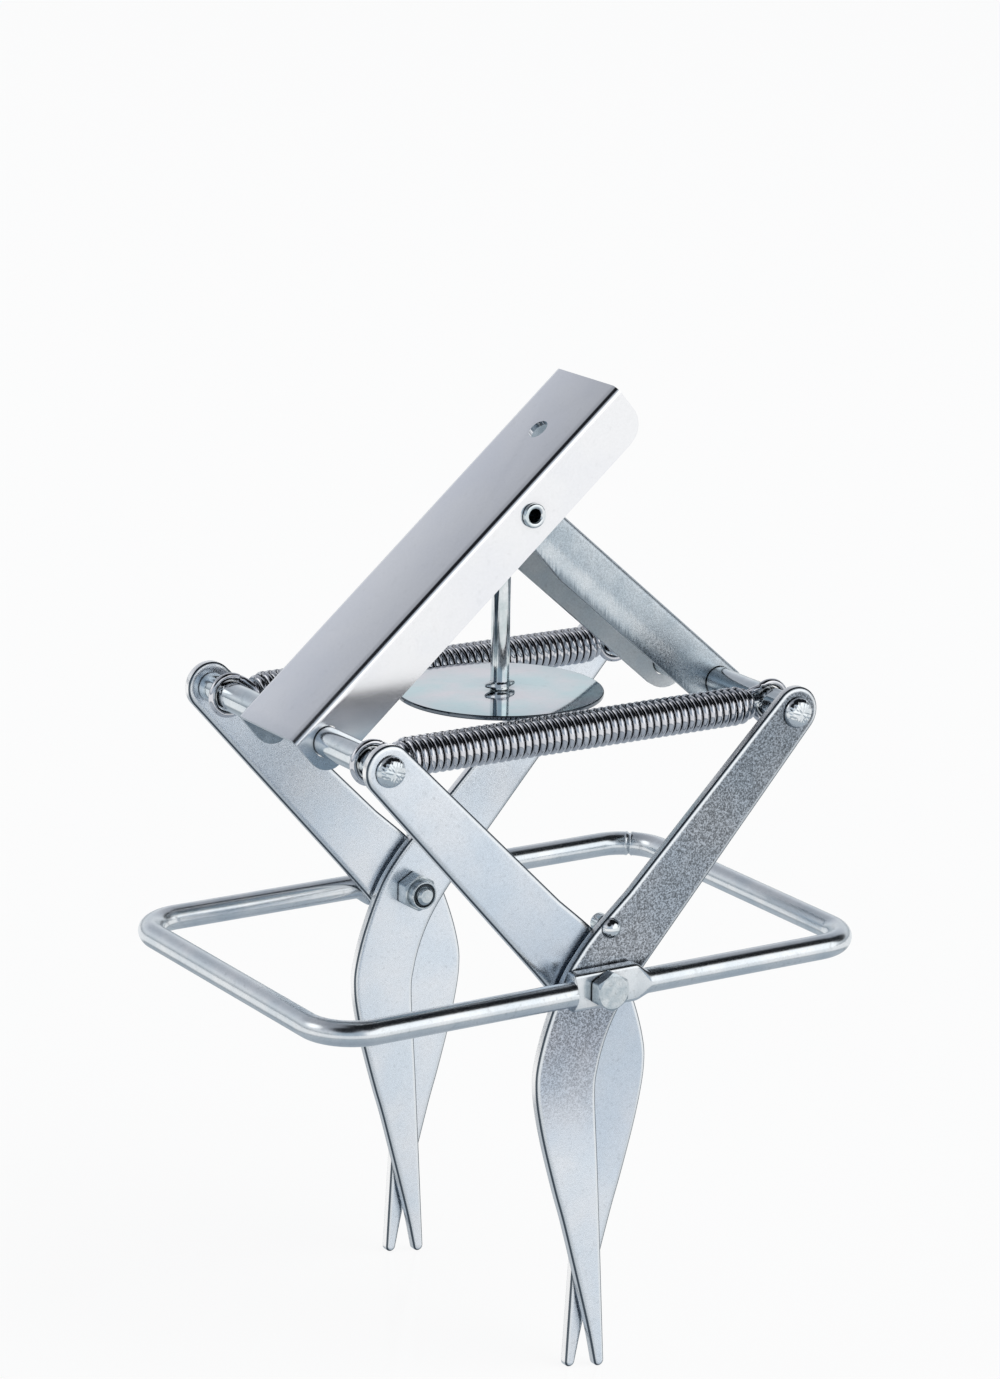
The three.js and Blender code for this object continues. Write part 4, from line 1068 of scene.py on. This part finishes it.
trigger = {
    "bore": 2.1 * mm, "pin": 3 * mm, "ring": 3.9 * mm, "ringLength": 1.2 * mm, "neckRound": 0.1 * mm,
    "sleeveIn": 3.3 * mm, "sleeveOut": 4.6 * mm, "mouthRound": 0.3 * mm, "sleeveRound": 0.4 * mm,
    "stem": 3 * mm, "tenon": 2.3 * mm, "play": 0.3 * mm, "ear": 2.5 * mm, "earHigh": 2.5 * mm,
    "earPower": 14, "pinch": 0.35 * mm, "sides": 96, "peen": 3.8 * mm, "peenHigh": 1.4 * mm,
    "peenFlat": 0.65, "peenRound": 0.8 * mm, "peenEdge": 0.3 * mm, "peenRise": 0.05 * mm,
    "pan": 33 * mm, "panThick": 1.5 * mm, "holeRound": 0.2 * mm, "rimRound": 0.45 * mm,
}


def makeHingePin():
    # tube with a rolled ring at each end; its bore takes the pedal's dull lining, a painted shade
    s = trigger
    end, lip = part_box("hinge_pin")[1][1], s["ringLength"]
    seat, neck, roll = end - lip, s["neckRound"], lip * 0.7
    points, faces = closedTurn([
        (s["bore"], 0), (s["bore"], end, lip), (s["ring"], end, roll), (s["ring"], seat, neck),
        (s["pin"], seat, neck), (s["pin"], 0), (s["pin"], -seat, neck), (s["ring"], -seat, neck),
        (s["ring"], -end, roll), (s["bore"], -end, lip), (s["bore"], 0)])
    pin = makePiece("tubular_hinge_pin", placed(points, pinPlace), faces, mirrorZinc, "hinge_pin",
                    ["hinge_pin"], 50)
    linePiece(pin, pedalLining, pinPlace, np.eye(3),
              lambda x, y, z: np.hypot(x, z) < s["bore"] * 1.02)


def makeSleeve():
    # tube that turns on the pin between the inner lever's ears
    s = trigger
    half, mouth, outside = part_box("trigger_sleeve")[1][1], s["mouthRound"], s["sleeveRound"]
    points, faces = closedTurn([
        (s["sleeveIn"], 0), (s["sleeveIn"], half, mouth), (s["sleeveOut"], half, outside),
        (s["sleeveOut"], -half, outside), (s["sleeveIn"], -half, mouth), (s["sleeveIn"], 0)])
    makePiece("sleeve_tube", placed(points, pinPlace), faces, mirrorZinc, "trigger",
              ["trigger_sleeve"], 50)


def makeStem():
    # the stem's radius swells to two pinched ears along X just above the pan: radius plus ear
    # times a high power of cos, less pinch times sin^2; below the pan its tenon is peened over
    s = trigger
    panTop = panPlace.z + s["panThick"] / 2 + s["play"]
    panFoot = panPlace.z - s["panThick"] / 2 - s["play"]
    sleeveFoot, earTop = pinPlace.z - 2 * s["sleeveOut"], panTop + 2 * s["earHigh"]
    heights = np.concatenate([
        np.linspace(pinPlace.z, sleeveFoot, 12), np.linspace(sleeveFoot, earTop, 24)[1:],
        np.linspace(earTop, panTop, 40)[1:]])
    angle = np.arange(s["sides"]) / s["sides"] * tau
    middleEar = panTop + s["earHigh"] * 0.5
    swell = np.exp(-((heights - middleEar) / (s["earHigh"] * 0.36)) ** 4)[:, None]
    eared = s["ear"] * np.abs(np.cos(angle)) ** s["earPower"] - s["pinch"] * np.sin(angle) ** 2
    radius = s["stem"] + swell * eared
    shaft = np.stack([radius * np.cos(angle), radius * np.sin(angle), heights[:, None] + 0 * angle], -1)
    peenEnd = panFoot - s["peenHigh"]
    foot = roundedProfile([
        (s["tenon"], panTop), (s["tenon"], panFoot), (s["peen"], panFoot - s["peenRise"], s["peenEdge"]),
        (s["peen"], panFoot - s["peenHigh"] * 0.5, s["peenRound"]),
        (s["peen"] * s["peenFlat"], peenEnd, s["peenRound"]), (0, peenEnd)])
    r, z = foot[:, 0][:, None], foot[:, 1][:, None]
    under = np.stack([r * np.cos(angle), r * np.sin(angle), z + 0 * angle], -1)
    rows = np.concatenate([shaft, under]).reshape(-1, 3)
    faces = gridFaces(len(heights) + len(foot), s["sides"], closeColumns=True).tolist()
    faces.append(list(range(s["sides"])))
    stem = makePiece("trigger_rod", placed(rows, (panPlace.x, 0, 0)), faces, rodZinc, "trigger",
                     ["trigger_stem"], 40)
    cope = 2 * s["ring"]
    drill(stem, [rod(s["sleeveOut"] + s["play"], -cope, cope, pinPlace.x, pinPlace.z)])


def makePan():
    # disc with a drilled middle and eased rims
    s = trigger
    hole, top = s["tenon"] + s["play"], s["panThick"] / 2
    points, faces = closedTurn([
        (hole, 0), (hole, -top, s["holeRound"]), (s["pan"], -top, s["rimRound"]),
        (s["pan"], top, s["rimRound"]), (hole, top, s["holeRound"]), (hole, 0)], 192)
    makePiece("disc_pan", placed(points[:, [0, 2, 1]], panPlace), faces, panZinc, "trigger",
              ["trigger_pan"], 50)


makeHingePin()
makeSleeve()
makeStem()
makePan()
print("trigger made")


# Floor, studio, lamp and camera

floorSheet = {
    "reach": 14, "glow": 0.9, "roughness": 0.12, "inMetal": [
        (0.0, "#A2ABB5"), (0.2, "#AEB7C0"), (0.43, "#B9C2CA"), (0.51, "#8F989F"), (0.59, "#FFFFFF")],
}


def makeFloor(z):
    # a broad white sheet under the blade tips: mostly its own white, partly a glossy surface that
    # takes soft shadows and faint mirror images; the camera sees it plain white, but in the metal
    # it is white only at a glancing angle, dark just short of that and grey straight down
    reach = floorSheet["reach"]
    mesh = bpy.data.meshes.new("floor")
    corners = [(-reach, -reach, z), (reach, -reach, z), (reach, reach, z), (-reach, reach, z)]
    mesh.from_pydata(corners, [], [(0, 1, 2, 3)])
    floor = bpy.data.objects.new("floor", mesh)
    bpy.context.scene.collection.objects.link(floor)
    material, tree, _, _ = newMaterial("white_paper_floor")
    base = addNode(tree, "ShaderNodeBsdfPrincipled", {}, {
        "Base Color": linear("#F6F6F6"), "Roughness": floorSheet["roughness"], "IOR": 1.5})
    rays = addNode(tree, "ShaderNodeLightPath")
    # painted shade seen only in reflections: the floor's tone in the metal, set by the angle it is seen
    # at
    glancing = addNode(tree, "ShaderNodeLayerWeight", {}, {"Blend": 0.5}).outputs["Facing"]
    inMetal = addNode(tree, "ShaderNodeValToRGB", {}, {}, {"Fac": glancing},
                      floorSheet["inMetal"]).outputs["Color"]
    paper = addNode(tree, "ShaderNodeMix", {"data_type": "RGBA"}, {"B": linear("#FFFFFF")}, {
        "Factor": rays.outputs["Is Camera Ray"], "A": inMetal}).outputs["Result"]
    glow = addNode(tree, "ShaderNodeEmission", {}, {"Strength": 1.0}, {"Color": paper})
    seen = rays.outputs["Is Camera Ray"]
    for kind in ("Is Glossy Ray", "Is Transmission Ray"):
        seen = addNode(tree, "ShaderNodeMath", {"operation": "MAXIMUM"}, {}, {
            0: seen, 1: rays.outputs[kind]}).outputs["Value"]
    share = addNode(tree, "ShaderNodeMath", {"operation": "MULTIPLY"}, {
        1: floorSheet["glow"]}, {0: seen})
    mixed = addNode(tree, "ShaderNodeMixShader", {}, {}, {
        0: share.outputs["Value"], 1: base.outputs["BSDF"], 2: glow.outputs["Emission"]})
    addNode(tree, "ShaderNodeOutputMaterial", {}, {}, {"Surface": mixed.outputs["Shader"]})
    mesh.materials.append(material)


makeFloor(cadLow[2] - 0.05 * mm)


def makeSky():
    # a studio round the trap: grey at the horizon, white above it and lilac-grey higher, under soft
    # patches, dark overhead and on the right, white low in front and high at the back left, pale
    # blue low at the front left; each has a direction, an inner and outer half angle, a colour and
    # a strength; the camera itself sees plain white
    world = bpy.data.worlds.new("studio")
    bpy.context.scene.world = world
    world.use_nodes = True
    sky = world.node_tree
    sky.nodes.clear()
    direction = addNode(sky, "ShaderNodeTexCoord").outputs["Generated"]
    height = addNode(sky, "ShaderNodeSeparateXYZ", {}, {}, {"Vector": direction}).outputs["Z"]
    colour = addNode(sky, "ShaderNodeValToRGB", {}, {}, {"Fac": height}, [
        (0.0, "#858C93"), (0.05, "#ADB3B9"), (0.16, "#DADDE1"), (0.26, "#E8EBEE"), (0.45, "#CDD0D7"),
        (0.62, "#AEB1B8"), (0.85, "#A2A5AC"), (1.0, "#8E9198")]).outputs["Color"]
    patches = [
        {"toward": (-0.5, -0.86, 0.1), "inner": 18, "outer": 42, "colour": "#B4C0CC", "strength": 1.0},
        {"toward": (0.3, -0.34, 0.89), "inner": 27, "outer": 37, "colour": "#17191C", "strength": 1.0},
        {"toward": (-0.45, -0.5, 0.74), "inner": 16, "outer": 29, "colour": "#1C1E22", "strength": 1.0},
        {"toward": (0.86, -0.1, 0.5), "inner": 14, "outer": 24, "colour": "#1C1E22", "strength": 1.0},
        {"toward": (0.2, -0.95, 0.2), "inner": 10, "outer": 20, "colour": "#FFFFFF", "strength": 1.3},
        {"toward": (0.58, -0.76, 0.28), "inner": 20, "outer": 27, "colour": "#FFFFFF", "strength": 1.3},
        {"toward": (-0.75, 0.35, 0.56), "inner": 10, "outer": 18, "colour": "#FFFFFF", "strength": 1.4}]
    for patch in patches:
        toward = Vector(patch["toward"]).normalized()
        facing = addNode(sky, "ShaderNodeVectorMath", {"operation": "DOT_PRODUCT"},
                         {1: toward}, {0: direction})
        inside = addNode(sky, "ShaderNodeMapRange", {"interpolation_type": "SMOOTHSTEP"}, {
            "From Min": math.cos(math.radians(patch["outer"])),
            "From Max": math.cos(math.radians(patch["inner"]))}, {"Value": facing.outputs["Value"]})
        bright = [c * patch["strength"] for c in linear(patch["colour"])[:3]] + [1]
        colour = addNode(sky, "ShaderNodeMix", {"data_type": "RGBA"}, {"B": bright}, {
            "Factor": inside.outputs["Result"], "A": colour}).outputs["Result"]
    rays = addNode(sky, "ShaderNodeLightPath")
    seen = addNode(sky, "ShaderNodeMix", {"data_type": "RGBA"}, {"B": (1, 1, 1, 1)}, {
        "Factor": rays.outputs["Is Camera Ray"], "A": colour})
    light = addNode(sky, "ShaderNodeBackground", {}, {"Strength": 1.0}, {
        "Color": seen.outputs["Result"]})
    addNode(sky, "ShaderNodeOutputWorld", {}, {}, {"Surface": light.outputs["Background"]})


makeSky()


def makeSun(name, toward, width, power):
    # a broad soft lamp far off that no gloss mirrors: it lights the floor, the pale lining and the
    # nylon, while the bright metal shows the studio
    lamp = bpy.data.lights.new(name, "SUN")
    lamp.angle = math.radians(width)
    lamp.energy = power
    holder = bpy.data.objects.new(name, lamp)
    holder.rotation_euler = Vector(toward).to_track_quat("Z", "Y").to_euler()
    holder.visible_glossy = False
    bpy.context.scene.collection.objects.link(holder)


makeSun("soft_lamp", (0.35, -0.45, 0.82), 45, 1.5)


def makeCamera():
    # the photograph's viewing angle, solved from its points: a long lens with a slight roll
    view = {"azimuth": -32.35, "elevation": 15.03, "roll": 0.95, "distance": 1.4209,
            "target": (0.14 * mm, 0, 80.44 * mm), "lens": 117.5, "film": 36}
    a, e, r = (math.radians(view[k]) for k in ("azimuth", "elevation", "roll"))
    back = Vector((math.sin(a) * math.cos(e), -math.cos(a) * math.cos(e), math.sin(e)))
    level = Vector((math.cos(a), math.sin(a), 0))
    up = back.cross(level)
    right = math.cos(r) * level + math.sin(r) * up
    top = -math.sin(r) * level + math.cos(r) * up
    target = Vector(view["target"]) + Vector((0, 0, pivot.z))
    lens = bpy.data.cameras.new("camera")
    lens.sensor_fit = "AUTO"
    lens.sensor_width = view["film"]
    lens.lens = view["lens"]
    holder = bpy.data.objects.new("camera", lens)
    place = target + back * view["distance"]
    holder.matrix_world = Matrix((
        (right.x, top.x, back.x, place.x), (right.y, top.y, back.y, place.y),
        (right.z, top.z, back.z, place.z), (0, 0, 0, 1)))
    bpy.context.scene.collection.objects.link(holder)
    bpy.context.scene.camera = holder


makeCamera()
bpy.context.scene.view_settings.view_transform = "Standard"

print("scene made")
